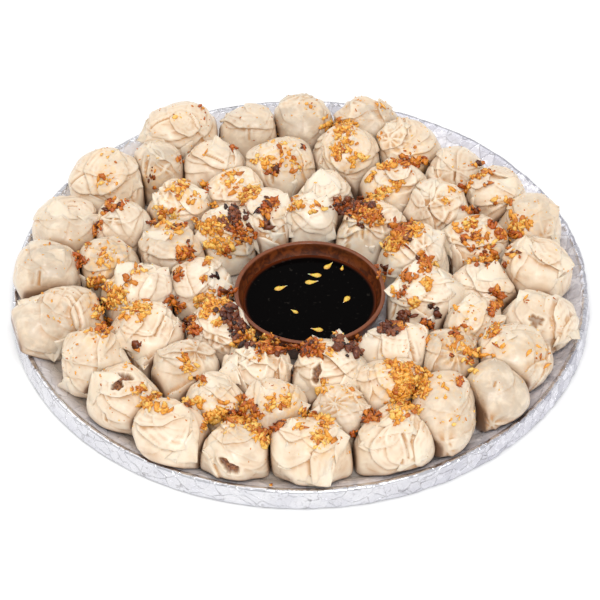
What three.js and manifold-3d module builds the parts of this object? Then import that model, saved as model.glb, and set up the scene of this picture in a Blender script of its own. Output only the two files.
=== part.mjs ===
// A platter of shumai: dumplings packed in three rings round a dip bowl, on a foil-wrapped round tray.
// Millimetres, +Z up. The origin is on the resting surface, under the middle of the tray.
import * as THREE from 'three';
import { mergeVertices } from 'three/addons/utils/BufferGeometryUtils.js';
import Module from 'manifold-3d';

const wasm = await Module();
wasm.setup();

// Driving dimensions
const TRAY = { radius: 170, rimHeight: 12.5, floor: 3.5, edge: 1.5, lean: 2.5, sides: 56 };
const TRAY_SLOPE = { foot: 152, footHeight: 4, top: 165.5, topHeight: 11.8 };
const FOIL_WAVE = 0.5;
const BOWL = { x: 5.5, y: -26, radius: 43.6, height: 24.5, foot: 31, base: 4.2, wall: 1.2, sides: 32 };
const SAUCE_LEVEL = 16.6;
const GAP = 0.3;
const FACET_GAP = 0.9;
const RESTS_AT = TRAY.floor + GAP;
const OVERHANG_RADIUS = 171;

// A dumpling: where its middle lies in its height, how round and lumpy it is, how far its skirt flares out
// below, and how softly neighbours flatten it. The corners of its square wrapper push the skirt further
// out. A dumpling outside the free ring has no neighbour on its outer side, and tucks in below there.
const MIDDLE_SHARE = 0.47;
const ABOVE_SHARE = 0.53;
const BELOW_SHARE = 0.85;
const ROUNDNESS = 2;
const LUMPINESS = 0.055;
const FLARE = { share: 0.18, from: 0.35, over: 0.9 };
const CORNER = { least: 0.03, share: 0.12, from: 0.2, over: 0.7, sharpness: 6 };
const FREE = { ring: 123, belowShare: 0.62, over: 0.75 };
const SOFTNESS = 2;
const NEIGHBOUR_REACH = 70;
const COLUMNS = 13;
const RINGS = 7;

// The side of the platter that folds, holes and garlic are placed on is the one this point sees
const SEEN_FROM = new THREE.Vector3(0, -1119, 1047);
const AIM_STEPS = 6;
const GRAZING = 0.2;

// The wrapper's free edge: how wide its step is, how far the lift runs back under it, and along it (degrees)
const STEP = { half: 1.5, above: 2, below: 5, groove: 0.25, inward: 25, along: 55 };
const HOLE_LIP = 0.4;

// Toppings, as half-sizes: length, width, thickness
const GARLIC = [2.7, 1.8, 1.3];
const GARLIC_SINK = 0.4;
const SEED = [4, 2, 1.4];
const SEED_RISE = 0.2;

const COLOURS = { dough: 0xecd3b4, foil: 0xdcdade, bowl: 0x7c4a28, sauce: 0x0a0706 };

// Each row is one dumpling: the place of its middle, its width, length and height, and the turn of its width.
// fold is [right, up, side, bend, lift]: its main free edge passes the spot seen right and up of the middle,
// and the flap lies to that side (degrees), bending over that much of the dumpling, with that lift.
// hole is [right, up, radius, depth]. garlic is [right, up, spread, bits] for each thick patch.
const OUTER = [
  { at: [-75, 124], size: [47, 40, 35], turn: 20, fold: [4, 0, 90, 24, 1.8] },
  { at: [-31, 127], size: [37, 34, 32], fold: [-5, 4, 80, 75, 2.2] },
  { at: [1, 133], size: [37, 37, 35], fold: [12, 5, 180, 60, 0.9] },
  { at: [40, 128], size: [42, 37, 36], turn: 170, fold: [8, 14, 0, 40, 2.2] },
  { at: [66, 107], size: [42, 38, 36], turn: 150, fold: [-1, 13, 180, 32, 2.4], garlic: [[0, -5, 9, 1]] },
  { at: [94, 82], size: [36, 38, 34], turn: 120, fold: [1, 9, 0, 60, 2] },
  { at: [119, 63], size: [42, 36, 35], turn: 120, fold: [3, 13, 90, 18, 2.5] },
  { at: [137, 37], size: [40, 38, 35], turn: 90, fold: [-12, 17, 330, 75, 1], garlic: [[-6, 2, 7, 1]] },
  { at: [138, -1], size: [42, 40, 36], turn: 90, fold: [5, 5, 60, 55, 2.4] },
  { at: [135, -44], size: [44, 38, 32], turn: 20, hole: [0, 2, 4, 1.5] },
  { at: [120, -75], size: [44, 38, 37], turn: 40, fold: [10, -2, 300, 38, 1.6] },
  { at: [108, -101], size: [38, 38, 32], fold: [-8, -4, 200, 65, 0.8] },
  { at: [79, -116], size: [54, 37, 36], turn: 90, fold: [-2, -16, 280, 60, 1.3] },
  { at: [51, -138], size: [43, 37, 34], fold: [-11, -3, 0, 50, 2], garlic: [[1, 17, 7, 1]] },
  { at: [5, -145], size: [44, 39, 35], fold: [1, -6, 350, 62, 2.2], garlic: [[7, 6, 6, 1]] },
  { at: [-35, -144], size: [36, 33, 30], hole: [-6, -8, 4, 1.5], garlic: [[14, 11, 4, 1]] },
  { at: [-71, -131], size: [40, 40, 32], fold: [-6, -5, 60, 80, 3], garlic: [[-13, 17, 4, 1]] },
  { at: [-99, -104], size: [43, 37, 30], turn: 120, hole: [0, 10, 5, 1.5] },
  { at: [-116, -78], size: [44, 37, 36], turn: 110, fold: [2, -1, 0, 62, 2] },
  { at: [-143, -42], size: [62, 38, 31], turn: 30, fold: [16, 10, 350, 34, 2.6], garlic: [[30, 8, 3, 1]] },
  { at: [-148, -4], size: [44, 40, 35], turn: 90, fold: [7, -9, 250, 70, 0.8] },
  { at: [-140, 38], size: [42, 40, 32], turn: 90, fold: [16, 7, 180, 70, 0.8] },
  { at: [-117, 80], size: [46, 42, 33], turn: 30, fold: [-11, 11, 330, 52, 2.4], garlic: [[-1, 3, 7, 1]] },
  { at: [-87, 91], size: [34, 34, 33], fold: [1, 9, 45, 60, 1.5] },
];
const MIDDLE = [
  { at: [-53, 92], size: [40, 36, 32], fold: [-7, 7, 60, 60, 1.6] },
  { at: [-12, 90], size: [45, 40, 36], fold: [13, 3, 20, 60, 1.6],
    garlic: [[-8, 6, 6, 1], [1, 12, 10, 1], [9, 3, 7, 1]] },
  { at: [28, 98], size: [42, 42, 38], fold: [2, -7, 90, 52, 1.6], garlic: [[-1, 18, 8, 2], [-5, 7, 6, 1]] },
  { at: [58, 71], size: [41, 36, 33], fold: [1, 7, 90, 24, 2.2], garlic: [[-8, 0, 6, 1]] },
  { at: [82, 50], size: [38, 36, 36], fold: [-7, 5, 200, 70, 2.4] },
  { at: [104, 22], size: [38, 37, 33], fold: [-1, 0, 90, 60, 2.4],
    garlic: [[-6, 12, 6, 1], [7, -7, 7, 1], [4, 6, 7, 1]] },
  { at: [105, -17], size: [40, 34, 29], fold: [-6, 9, 30, 66, 1.8] },
  { at: [100, -47], size: [35, 34, 31], fold: [5, 9, 180, 60, 1.2] },
  { at: [83, -78], size: [38, 36, 35], fold: [-4, 7, 180, 45, 2.4], garlic: [[4, 10, 7, 1]] },
  { at: [50, -102], size: [41, 38, 37], fold: [-10, 4, 180, 50, 1.4],
    garlic: [[8, 5, 10, 3], [5, -4, 7, 1], [0, 14, 8, 1], [17, 1, 4, 1]] },
  { at: [22, -120], size: [34, 34, 34], fold: [8, 11, 30, 60, 1.2] },
  { at: [-14, -117], size: [36, 34, 37], fold: [9, 8, 340, 60, 1.2],
    garlic: [[6, 7, 7, 1], [-11, 2, 5, 1]] },
  { at: [-47, -108], size: [35, 34, 30], fold: [-5, 9, 45, 50, 1.8], garlic: [[2, -5, 7, 1]] },
  { at: [-64, -83], size: [37, 36, 32], fold: [6, 10, 90, 50, 2.2] },
  { at: [-87, -57], size: [44, 40, 35], turn: 140, fold: [7, -8, 290, 42, 2.6], garlic: [[-5, 17, 8, 2]] },
  { at: [-93, -20], size: [42, 36, 33], fold: [6, 10, 300, 50, 1.6], garlic: [[-16, 2, 5, 1]] },
  { at: [-113, 4], size: [36, 36, 32], fold: [-3, -1, 90, 60, 1.2],
    garlic: [[1, 6, 9, 1], [-8, -8, 6, 1]] },
  { at: [-106, 37], size: [35, 35, 32], fold: [12, 4, 180, 60, 1.2] },
  { at: [-76, 16], size: [38, 36, 32], fold: [-2, -2, 80, 66, 2.6],
    garlic: [[9, 1, 6, 2], [-1, 16, 8, 1]] },
  { at: [-72, 54], size: [38, 36, 32], fold: [-12, 3, 0, 70, 2], garlic: [[0, 14, 7, 2], [-11, 1, 5, 1]] },
  { at: [-39, 66], size: [37, 36, 32], fold: [-1, -1, 100, 60, 2],
    garlic: [[-2, 11, 8, 2], [10, 4, 5, 1], [5, -1, 4, 1]] },
];
const INNER = [
  { at: [-45, 30], size: [36, 34, 35], fold: [2, -9, 60, 60, 1.6],
    garlic: [[-4, 5, 8, 2], [9, 3, 7, 2], [-2, -4, 7, 2], [7, 12, 7, 1], [2, -9, 4, 1]] },
  { at: [-20, 43], size: [40, 32, 35], turn: 80, fold: [-7, -9, 280, 34, 2.6], garlic: [[1, 9, 5, 1]] },
  { at: [5, 42], size: [32, 30, 34], fold: [-12, 1, 180, 60, 1.2], garlic: [[-8, 11, 5, 1]] },
  { at: [16, 62], size: [42, 28, 32], turn: 75, fold: [-4, 1, 20, 70, 2.2] },
  { at: [43, 34], size: [40, 36, 35], fold: [-6, 6, 90, 60, 2.4],
    garlic: [[-7, 13, 11, 3], [1, 10, 6, 1], [-16, 12, 5, 1]] },
  { at: [67, 12], size: [40, 38, 35], fold: [-1, 4, 60, 70, 2],
    garlic: [[-6, 15, 8, 3], [-13, 6, 6, 2], [-15, 4, 4, 1]] },
  { at: [71, -26], size: [42, 40, 36], fold: [10, 0, 110, 76, 2.4],
    garlic: [[-9, 12, 5, 1], [1, 22, 7, 1], [-24, 16, 5, 1], [-10, -9, 5, 1]] },
  { at: [55, -73], size: [46, 36, 37], fold: [5, 7, 180, 75, 2], garlic: [[-5, 16, 5, 1]] },
  { at: [15, -90], size: [40, 38, 39], hole: [-6, 2, 4, 1.5], garlic: [[-8, 16, 6, 2], [15, 15, 5, 1]] },
  { at: [-24, -88], size: [42, 34, 34], fold: [11, 6, 0, 50, 2.2],
    garlic: [[6, 18, 7, 2], [-4, 24, 5, 1]] },
  { at: [-46, -56], size: [38, 37, 36], fold: [-8, 0, 60, 60, 1.8],
    garlic: [[-7, 20, 7, 2], [7, 11, 7, 2], [10, 3, 5, 1], [-15, 9, 3, 1]] },
  { at: [-58, -14], size: [37, 36, 31], fold: [12, 1, 330, 60, 1.2],
    garlic: [[16, -3, 5, 1], [-12, 10, 4, 1]] },
];
// Chilli seeds afloat in the sauce: place from the bowl's middle, turn, and size as a share of a whole seed
const SEEDS = [
  [11, 30, 45, 0.9], [3, 22, 175, 1], [1, 16, 5, 1], [-17, 11, 20, 1],
  [-9, -9, 150, 0.7], [21, 1, 60, 0.9], [4, -24, 172, 0.9], [19, 28, 80, 0.5],
];

const radians = THREE.MathUtils.degToRad;

function seeded(key) {
  const value = Math.sin(key * 12.9898) * 43758.5453;
  return value - Math.floor(value);
}

function smoothStep(value) {
  const share = THREE.MathUtils.clamp(value, 0, 1);
  return share * share * (3 - 2 * share);
}

function softMin(a, b) {
  const blend = THREE.MathUtils.clamp(0.5 + (0.5 * (b - a)) / SOFTNESS, 0, 1);
  return b * (1 - blend) + a * blend - SOFTNESS * blend * (1 - blend);
}

function material(name, roughness, metalness = 0) {
  return new THREE.MeshStandardMaterial({ color: COLOURS[name], roughness, metalness });
}

function joined(geometry) {
  geometry.deleteAttribute('normal');
  geometry.deleteAttribute('uv');
  return mergeVertices(geometry, 1e-4);
}

function toSolid(geometry) {
  const vertProperties = new Float32Array(geometry.getAttribute('position').array);
  const triVerts = new Uint32Array(geometry.index.array);
  return new wasm.Manifold(new wasm.Mesh({ numProp: 3, vertProperties, triVerts }));
}

function toGeometry(solid) {
  const { vertProperties, triVerts } = solid.getMesh();
  const geometry = new THREE.BufferGeometry();
  geometry.setAttribute('position', new THREE.BufferAttribute(vertProperties, 3));
  geometry.setIndex(new THREE.BufferAttribute(triVerts, 1));
  return geometry;
}

function turned(profile, sides) {
  const points = profile.map(([radius, height]) => new THREE.Vector2(radius, height));
  return joined(new THREE.LatheGeometry(points, sides).rotateX(Math.PI / 2));
}

function named(name, geometry, finish) {
  geometry.computeVertexNormals();
  const mesh = new THREE.Mesh(geometry, finish);
  mesh.name = name;
  return mesh;
}

// The tray: a flat board wrapped in foil, with a low rim that slopes down to its floor
function makeTray() {
  const { radius, rimHeight, floor, edge, lean } = TRAY;
  const { foot, footHeight, top, topHeight } = TRAY_SLOPE;
  const geometry = turned([
    [0, 0], [radius - edge, 0], [radius, edge], [radius - edge / 10, 2 * edge],
    [radius - lean / 2, rimHeight - edge], [radius - lean, rimHeight],
    [top, topHeight], [foot, footHeight], [foot - 4, floor], [0, floor],
  ], TRAY.sides);
  crumpleWall(geometry);
  return named('tray', geometry, material('foil', 0.35, 0.8));
}

// The foil's wall waves a little inwards, more on the right and at the back than at the front left
function crumpleWall(geometry) {
  const position = geometry.getAttribute('position');
  for (let i = 0; i < position.count; i += 1) {
    const x = position.getX(i);
    const y = position.getY(i);
    const height = position.getZ(i);
    const onWall = Math.hypot(x, y) > TRAY.radius - TRAY.lean - 0.1 && height > TRAY.edge;
    if (onWall) {
      const angle = Math.atan2(y, x);
      const wave = Math.sin(11 * angle + height) + Math.sin(19 * angle - 0.3 * height);
      const strength = 0.6 + 0.4 * Math.cos(angle - radians(30));
      const shrink = 1 - (FOIL_WAVE * strength * (2 + wave)) / 2 / TRAY.radius;
      position.setXY(i, x * shrink, y * shrink);
    }
  }
}

function makeBowl() {
  const { radius, height, foot, base, wall } = BOWL;
  const geometry = turned([
    [0, 0], [foot, 0], [foot + 2.5, 1.5], [radius - 3.1, 14], [radius, height - 0.5],
    [radius - wall, height], [radius - 2 * wall, height - 0.5],
    [radius - 5.1, SAUCE_LEVEL], [foot - 1, 6], [foot - 5, 4.5], [0, base],
  ], BOWL.sides);
  const bowl = named('dip_bowl', geometry, material('bowl', 0.25));
  bowl.position.set(BOWL.x, BOWL.y, RESTS_AT);
  return bowl;
}

// The sauce fills the bowl to its level, with chilli seeds half sunk in its surface
function makeSauce() {
  const { radius, foot, base } = BOWL;
  let solid = toSolid(turned([
    [0, base + GAP], [foot - 5.2, 4.5 + GAP], [foot - 1.2, 6 + GAP],
    [radius - 5.1 - GAP, SAUCE_LEVEL], [0, SAUCE_LEVEL],
  ], BOWL.sides));
  for (const [x, y, turn, share] of SEEDS) {
    const seed = new THREE.IcosahedronGeometry(1, 0).scale(...SEED.map((half) => half * share));
    seed.rotateZ(radians(turn)).translate(x, y, SAUCE_LEVEL + SEED_RISE);
    solid = solid.add(toSolid(joined(seed)));
  }
  const sauce = named('sauce', toGeometry(solid), material('sauce', 0.1));
  sauce.position.set(BOWL.x, BOWL.y, RESTS_AT);
  return sauce;
}

const dumplings = [
  ...OUTER.map((row, i) => ({ ...row, name: `shumai_outer_${String(i + 1).padStart(2, '0')}` })),
  ...MIDDLE.map((row, i) => ({ ...row, name: `shumai_middle_${String(i + 1).padStart(2, '0')}` })),
  ...INNER.map((row, i) => ({ ...row, name: `shumai_inner_${String(i + 1).padStart(2, '0')}` })),
];

function settle(dumpling, index) {
  const [width, length, height] = dumpling.size;
  dumpling.index = index;
  dumpling.middle = new THREE.Vector3(...dumpling.at, RESTS_AT + MIDDLE_SHARE * height);
  dumpling.meanRadius = (width + length) / 4;
  dumpling.outward = new THREE.Vector3(...dumpling.at, 0).normalize();
  dumpling.isFree = Math.hypot(...dumpling.at) > FREE.ring;
  dumpling.cornerShare = CORNER.least + CORNER.share * seeded(3 * index + 0.5);
  dumpling.cornerTurn = radians(dumpling.turn ?? 0) + Math.PI * seeded(5 * index + 0.5);
  const toward = SEEN_FROM.clone().sub(dumpling.middle).normalize();
  const across = new THREE.Vector3(0, 0, 1).cross(toward).normalize();
  dumpling.view = { toward, across, upward: toward.clone().cross(across) };
}

// The flat sides that hold a dumpling in: its neighbours, the bowl, the tray's floor, slope and overhang
function holdingPlanes(dumpling) {
  const { middle, meanRadius, outward } = dumpling;
  const planes = [{ normal: new THREE.Vector3(0, 0, -1), distance: middle.z - RESTS_AT }];
  for (const other of dumplings) {
    const apart = other.middle.clone().sub(middle);
    const span = apart.length();
    if (other === dumpling || span > NEIGHBOUR_REACH) continue;
    const share = (span ** 2 + meanRadius ** 2 - other.meanRadius ** 2) / (2 * span);
    planes.push({ normal: apart.divideScalar(span), distance: share - GAP / 2 });
  }
  const toBowl = new THREE.Vector3(BOWL.x - middle.x, BOWL.y - middle.y, 0);
  planes.push({ normal: toBowl.clone().normalize(), distance: toBowl.length() - BOWL.radius - GAP });
  const { foot, footHeight, top, topHeight } = TRAY_SLOPE;
  const angle = Math.atan2(topHeight - footHeight, top - foot);
  const slope = outward.clone().multiplyScalar(Math.sin(angle)).setZ(-Math.cos(angle));
  const onSlope = outward.clone().multiplyScalar(foot).setZ(footHeight);
  planes.push({ normal: slope, distance: onSlope.sub(middle).dot(slope) - FACET_GAP });
  const reachOut = OVERHANG_RADIUS - Math.hypot(middle.x, middle.y);
  planes.push({ normal: outward, distance: reachOut });
  return planes;
}

// The free side of a dumpling, 1 where nothing leans against it and 0 towards its neighbours
function freeSide(dumpling, direction) {
  const flat = Math.max(Math.hypot(direction.x, direction.y), 1e-6);
  return dumpling.isFree ? smoothStep(direction.dot(dumpling.outward) / flat / FREE.over) : 0;
}

// How much wider a dumpling is below than a plain block: its flare, and the corners of its wrapper
function skirtWidth(dumpling, direction, free) {
  const { x, y, z } = direction;
  const flare = FLARE.share * (1 - free) * smoothStep((FLARE.from - z) / FLARE.over);
  const lobe = Math.abs(Math.cos(2 * (Math.atan2(y, x) - dumpling.cornerTurn))) ** CORNER.sharpness;
  return 1 + flare + dumpling.cornerShare * lobe * smoothStep((CORNER.from - z) / CORNER.over);
}

// How far a dumpling reaches in a direction: a rounded block, a little lumpy, held in by its planes
function reach(dumpling, direction, lift = 0) {
  const [width, length, height] = dumpling.size;
  const { x, y, z } = direction;
  const turn = radians(dumpling.turn ?? 0);
  const free = freeSide(dumpling, direction);
  const skirt = skirtWidth(dumpling, direction, free);
  const belowShare = BELOW_SHARE + (FREE.belowShare - BELOW_SHARE) * free;
  const alongWidth = Math.abs(x * Math.cos(turn) + y * Math.sin(turn)) / ((width / 2) * skirt);
  const alongLength = Math.abs(y * Math.cos(turn) - x * Math.sin(turn)) / ((length / 2) * skirt);
  const upDown = Math.abs(z) / (height * (z > 0 ? ABOVE_SHARE : belowShare));
  const block = alongWidth ** ROUNDNESS + alongLength ** ROUNDNESS + upDown ** ROUNDNESS;
  const key = dumpling.index;
  const broad = Math.sin(3.1 * x + key) * Math.sin(2.7 * y + 2 * key);
  const fine = 0.6 * Math.sin(4.3 * z + 3.3 * key + 2 * x);
  let distance = block ** (-1 / ROUNDNESS) * (1 + LUMPINESS * (broad + fine)) + lift;
  for (const plane of dumpling.planes) {
    const facing = direction.dot(plane.normal);
    if (facing > 1e-3) distance = softMin(distance, Math.min(plane.distance / facing, 200));
  }
  return distance;
}

// The direction from a dumpling's middle to the spot that is seen right and up of it
function spotAt(dumpling, right, up) {
  const { across, upward, toward } = dumpling.view;
  const direction = toward.clone();
  for (let step = 0; step < AIM_STEPS; step += 1) {
    const distance = reach(dumpling, direction);
    const depth = Math.sqrt(Math.max(distance ** 2 - right ** 2 - up ** 2, (GRAZING * distance) ** 2));
    direction.copy(across).multiplyScalar(right);
    direction.addScaledVector(upward, up).addScaledVector(toward, depth).normalize();
  }
  return direction;
}

// A fold as a cap of the dumpling: its free edge is the cap's rim, a bend away from the cap's middle
function foldCap(dumpling) {
  const [right, up, side, bend, lift] = dumpling.fold;
  const { across, upward } = dumpling.view;
  const spot = spotAt(dumpling, right, up);
  const flap = across.clone().multiplyScalar(Math.cos(radians(side)));
  flap.addScaledVector(upward, Math.sin(radians(side)));
  flap.addScaledVector(spot, -flap.dot(spot)).normalize();
  const centre = spot.clone().multiplyScalar(Math.cos(radians(bend)));
  centre.addScaledVector(flap, Math.sin(radians(bend)));
  return { spot, centre, bend, lift };
}

function foldLift(cap, direction) {
  const degrees = THREE.MathUtils.radToDeg(direction.angleTo(cap.centre));
  const inside = cap.bend - degrees;
  const step = smoothStep((inside + STEP.half) / (2 * STEP.half));
  const raised = step * Math.exp(-Math.max(inside, 0) / STEP.inward);
  const groove = STEP.groove * Math.exp(-(((inside + STEP.below) / STEP.below) ** 2)) * (1 - step);
  const along = THREE.MathUtils.radToDeg(direction.angleTo(cap.spot)) / STEP.along;
  return cap.lift * (raised - groove) * Math.exp(-(along ** 2));
}

// A torn hole: a shallow dent with a low lip round it
function holeDent(dumpling, direction, centre) {
  const [, , radius, depth] = dumpling.hole;
  const away = direction.angleTo(centre) * dumpling.meanRadius;
  const dent = depth * smoothStep((1.25 * radius - away) / (0.5 * radius));
  const lip = HOLE_LIP * Math.exp(-(((away - 1.3 * radius) / (0.4 * radius)) ** 2));
  return lip - dent;
}

// The rings of a dumpling's mesh, in degrees from its pole: two of them lie on either side of a step
function ringAngles(edge, above, below) {
  const first = [0, 0.55 * edge, edge - above, edge + below];
  const rest = RINGS - first.length + 1;
  const left = 180 - edge - below;
  for (let i = 1; i <= rest; i += 1) first.push(edge + below + (left * i) / rest);
  return first;
}

function wrapperGeometry(dumpling) {
  let pole;
  let rings;
  let relief;
  if (dumpling.fold) {
    const cap = foldCap(dumpling);
    pole = cap.centre;
    rings = ringAngles(cap.bend, STEP.above, STEP.below);
    relief = (direction) => foldLift(cap, direction);
  } else {
    const [right, up, radius] = dumpling.hole;
    const edge = THREE.MathUtils.radToDeg(radius / dumpling.meanRadius);
    pole = spotAt(dumpling, right, up);
    rings = ringAngles(edge, 0.25 * edge, 0.3 * edge);
    relief = (direction) => holeDent(dumpling, direction, pole);
  }
  const geometry = joined(new THREE.SphereGeometry(1, COLUMNS, RINGS));
  const tilt = new THREE.Quaternion().setFromUnitVectors(new THREE.Vector3(0, 1, 0), pole);
  const position = geometry.getAttribute('position');
  const direction = new THREE.Vector3();
  for (let i = 0; i < position.count; i += 1) {
    direction.fromBufferAttribute(position, i);
    const ring = Math.round((Math.acos(THREE.MathUtils.clamp(direction.y, -1, 1)) / Math.PI) * RINGS);
    const round = Math.atan2(direction.x, direction.z);
    direction.setFromSphericalCoords(1, radians(rings[ring]), round).applyQuaternion(tilt);
    const distance = reach(dumpling, direction, relief(direction));
    position.setXYZ(i, direction.x * distance, direction.y * distance, direction.z * distance);
  }
  return geometry;
}

function garlicBit(dumpling, wrapper, patch, bit, patchIndex) {
  const [right, up, spread] = patch;
  const key = 1000 * dumpling.index + 100 * patchIndex + bit;
  const angle = 2 * Math.PI * seeded(key + 0.1);
  const off = spread * Math.sqrt(seeded(key + 0.2)) * Math.min(bit + 0.3, 1);
  const direction = spotAt(dumpling, right + off * Math.cos(angle), up + off * Math.sin(angle));
  const start = direction.clone().multiplyScalar(NEIGHBOUR_REACH);
  const [hit] = new THREE.Raycaster(start, direction.clone().negate()).intersectObject(wrapper);
  const size = 0.85 + 0.3 * seeded(key + 0.3);
  const geometry = new THREE.IcosahedronGeometry(1, 0).scale(...GARLIC.map((half) => half * size));
  geometry.rotateZ(2 * Math.PI * seeded(key + 0.4));
  geometry.applyQuaternion(new THREE.Quaternion().setFromUnitVectors(
    new THREE.Vector3(0, 0, 1), hit.face.normal));
  const place = hit.point.addScaledVector(hit.face.normal, -GARLIC_SINK);
  return joined(geometry.translate(place.x, place.y, place.z));
}

function staysInside(dumpling, geometry) {
  const position = geometry.getAttribute('position');
  const corner = new THREE.Vector3();
  for (let i = 0; i < position.count; i += 1) {
    corner.fromBufferAttribute(position, i);
    if (dumpling.planes.some((plane) => corner.dot(plane.normal) > plane.distance)) return false;
  }
  return true;
}

function makeDumpling(dumpling) {
  const finish = material('dough', 0.5);
  const wrapper = named('wrapper', wrapperGeometry(dumpling), finish);
  let solid = toSolid(wrapper.geometry);
  (dumpling.garlic ?? []).forEach((patch, patchIndex) => {
    for (let bit = 0; bit < patch[3]; bit += 1) {
      const geometry = garlicBit(dumpling, wrapper, patch, bit, patchIndex);
      if (staysInside(dumpling, geometry)) solid = solid.add(toSolid(geometry));
    }
  });
  const mesh = named(dumpling.name, toGeometry(solid), finish);
  mesh.position.copy(dumpling.middle);
  return mesh;
}

dumplings.forEach(settle);
for (const dumpling of dumplings) dumpling.planes = holdingPlanes(dumpling);

const platter = new THREE.Group();
platter.add(makeTray(), makeBowl(), makeSauce(), ...dumplings.map(makeDumpling));

export default platter;
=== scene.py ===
# %% [markdown]
# # A platter of shumai
#
# A round board wrapped in kitchen foil carries three rings of steamed dumplings round a small brown bowl
# of dark dipping sauce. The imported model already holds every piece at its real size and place. This
# lesson dresses it: each dumpling gets its folded wrapper, its crumbs of fried garlic and its own tone,
# and foil, glaze and sauce get finishes that answer to soft studio light.
#
# We load the frame first, because everything else is measured from it.

# %% Load the frame
import itertools
import math

import bpy
import numpy as np
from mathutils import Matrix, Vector
from mathutils.bvhtree import BVHTree


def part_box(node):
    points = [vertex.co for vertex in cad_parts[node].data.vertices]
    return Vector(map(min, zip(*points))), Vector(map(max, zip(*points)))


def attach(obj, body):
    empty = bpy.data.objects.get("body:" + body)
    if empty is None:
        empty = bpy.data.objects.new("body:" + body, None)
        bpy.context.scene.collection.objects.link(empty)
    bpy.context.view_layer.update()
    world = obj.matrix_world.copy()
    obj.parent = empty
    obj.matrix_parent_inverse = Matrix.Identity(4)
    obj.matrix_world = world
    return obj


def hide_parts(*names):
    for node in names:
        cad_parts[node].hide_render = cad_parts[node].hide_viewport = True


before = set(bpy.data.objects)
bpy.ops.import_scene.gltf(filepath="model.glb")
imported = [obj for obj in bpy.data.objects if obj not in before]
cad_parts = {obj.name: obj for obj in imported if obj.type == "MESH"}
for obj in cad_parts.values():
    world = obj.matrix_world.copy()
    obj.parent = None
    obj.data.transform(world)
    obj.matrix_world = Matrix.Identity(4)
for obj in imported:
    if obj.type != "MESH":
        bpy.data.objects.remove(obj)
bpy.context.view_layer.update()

MM = 0.001

# %% [markdown]
# ## Where the platter is looked at from
#
# A platter photographed for a table is usually seen from a standing person's eye. Here the outlines of
# the tray and the bowl fit one camera, 43 degrees above the table and a metre and a half away. A long
# lens keeps the near and the far dumplings nearly the same size. We make the camera first, because the
# folds of each dumpling are placed as this viewer sees them.

# %% Camera
VIEW_TILT = math.radians(43.19)
VIEW_DISTANCE = 1.53
AIM = np.array([-0.00021, -0.00355, 0.0])
PHOTO_WIDTH = 600
FOCAL_PIXELS = 2593
SENSOR_MM = 36

view_back = np.array([0.0, -math.cos(VIEW_TILT), math.sin(VIEW_TILT)])
eye = AIM + VIEW_DISTANCE * view_back
camera_data = bpy.data.cameras.new("camera")
camera_data.sensor_width = SENSOR_MM
camera_data.lens = FOCAL_PIXELS * SENSOR_MM / PHOTO_WIDTH
camera = bpy.data.objects.new("camera", camera_data)
camera.location = eye
camera.rotation_euler = (math.pi / 2 - VIEW_TILT, 0, 0)
bpy.context.scene.collection.objects.link(camera)
bpy.context.scene.camera = camera
print("lens", round(camera_data.lens, 1), "mm from", [round(value, 3) for value in eye])

# %% [markdown]
# ## The dumplings, one row each
#
# Hand-folded dumplings are never alike, so each has a row of its own, in millimetres: the place of its
# middle on the tray, its width, length and height, and how far it is turned. What shows on it is given
# as the viewer sees it, right and up from its middle:
#
# - a fold is the free edge of the wrapper: the spot it passes, the side on which the flap lies (in
#   degrees, 0 to the right and 90 up), how far the flap bends over the dumpling, and its lift
# - a gather is a fan of pleats: its middle, the number of pleats, their depth and their spread
# - a crease is a slit or a sharp dent: its middle, direction, half its length and its depth
# - a hole is a tear that shows the filling: its middle, half-sizes and direction
# - a tab is a loose corner of wrapper: where it leaves, its direction, its length and its lift
# - toppings are crumbs in patches: middle, radius, number and kind (g golden garlic, b browned garlic,
#   m minced meat, d dark chilli skin)
#
# grey says how far the filling shades the thin wrapper.

# %% A dumpling's row
def shumai(at, size, turn=0, grey=0.1, folds=(), gathers=(), creases=(), holes=(), tabs=(), toppings=()):
    return dict(at=at, size=size, turn=turn, grey=grey, folds=folds, gathers=gathers, creases=creases,
                holes=holes, tabs=tabs, toppings=toppings)


print("a plain dumpling:", shumai((0, 0), (38, 36, 32)))

# %% [markdown]
# ## The outer ring
#
# Twenty-four dumplings stand along the rim, clockwise from the back left. The rim leaves them room on one
# side, so they are the widest of all. Those at the left are so full that the filling greys them and
# pulls them smooth, and three are torn.

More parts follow.
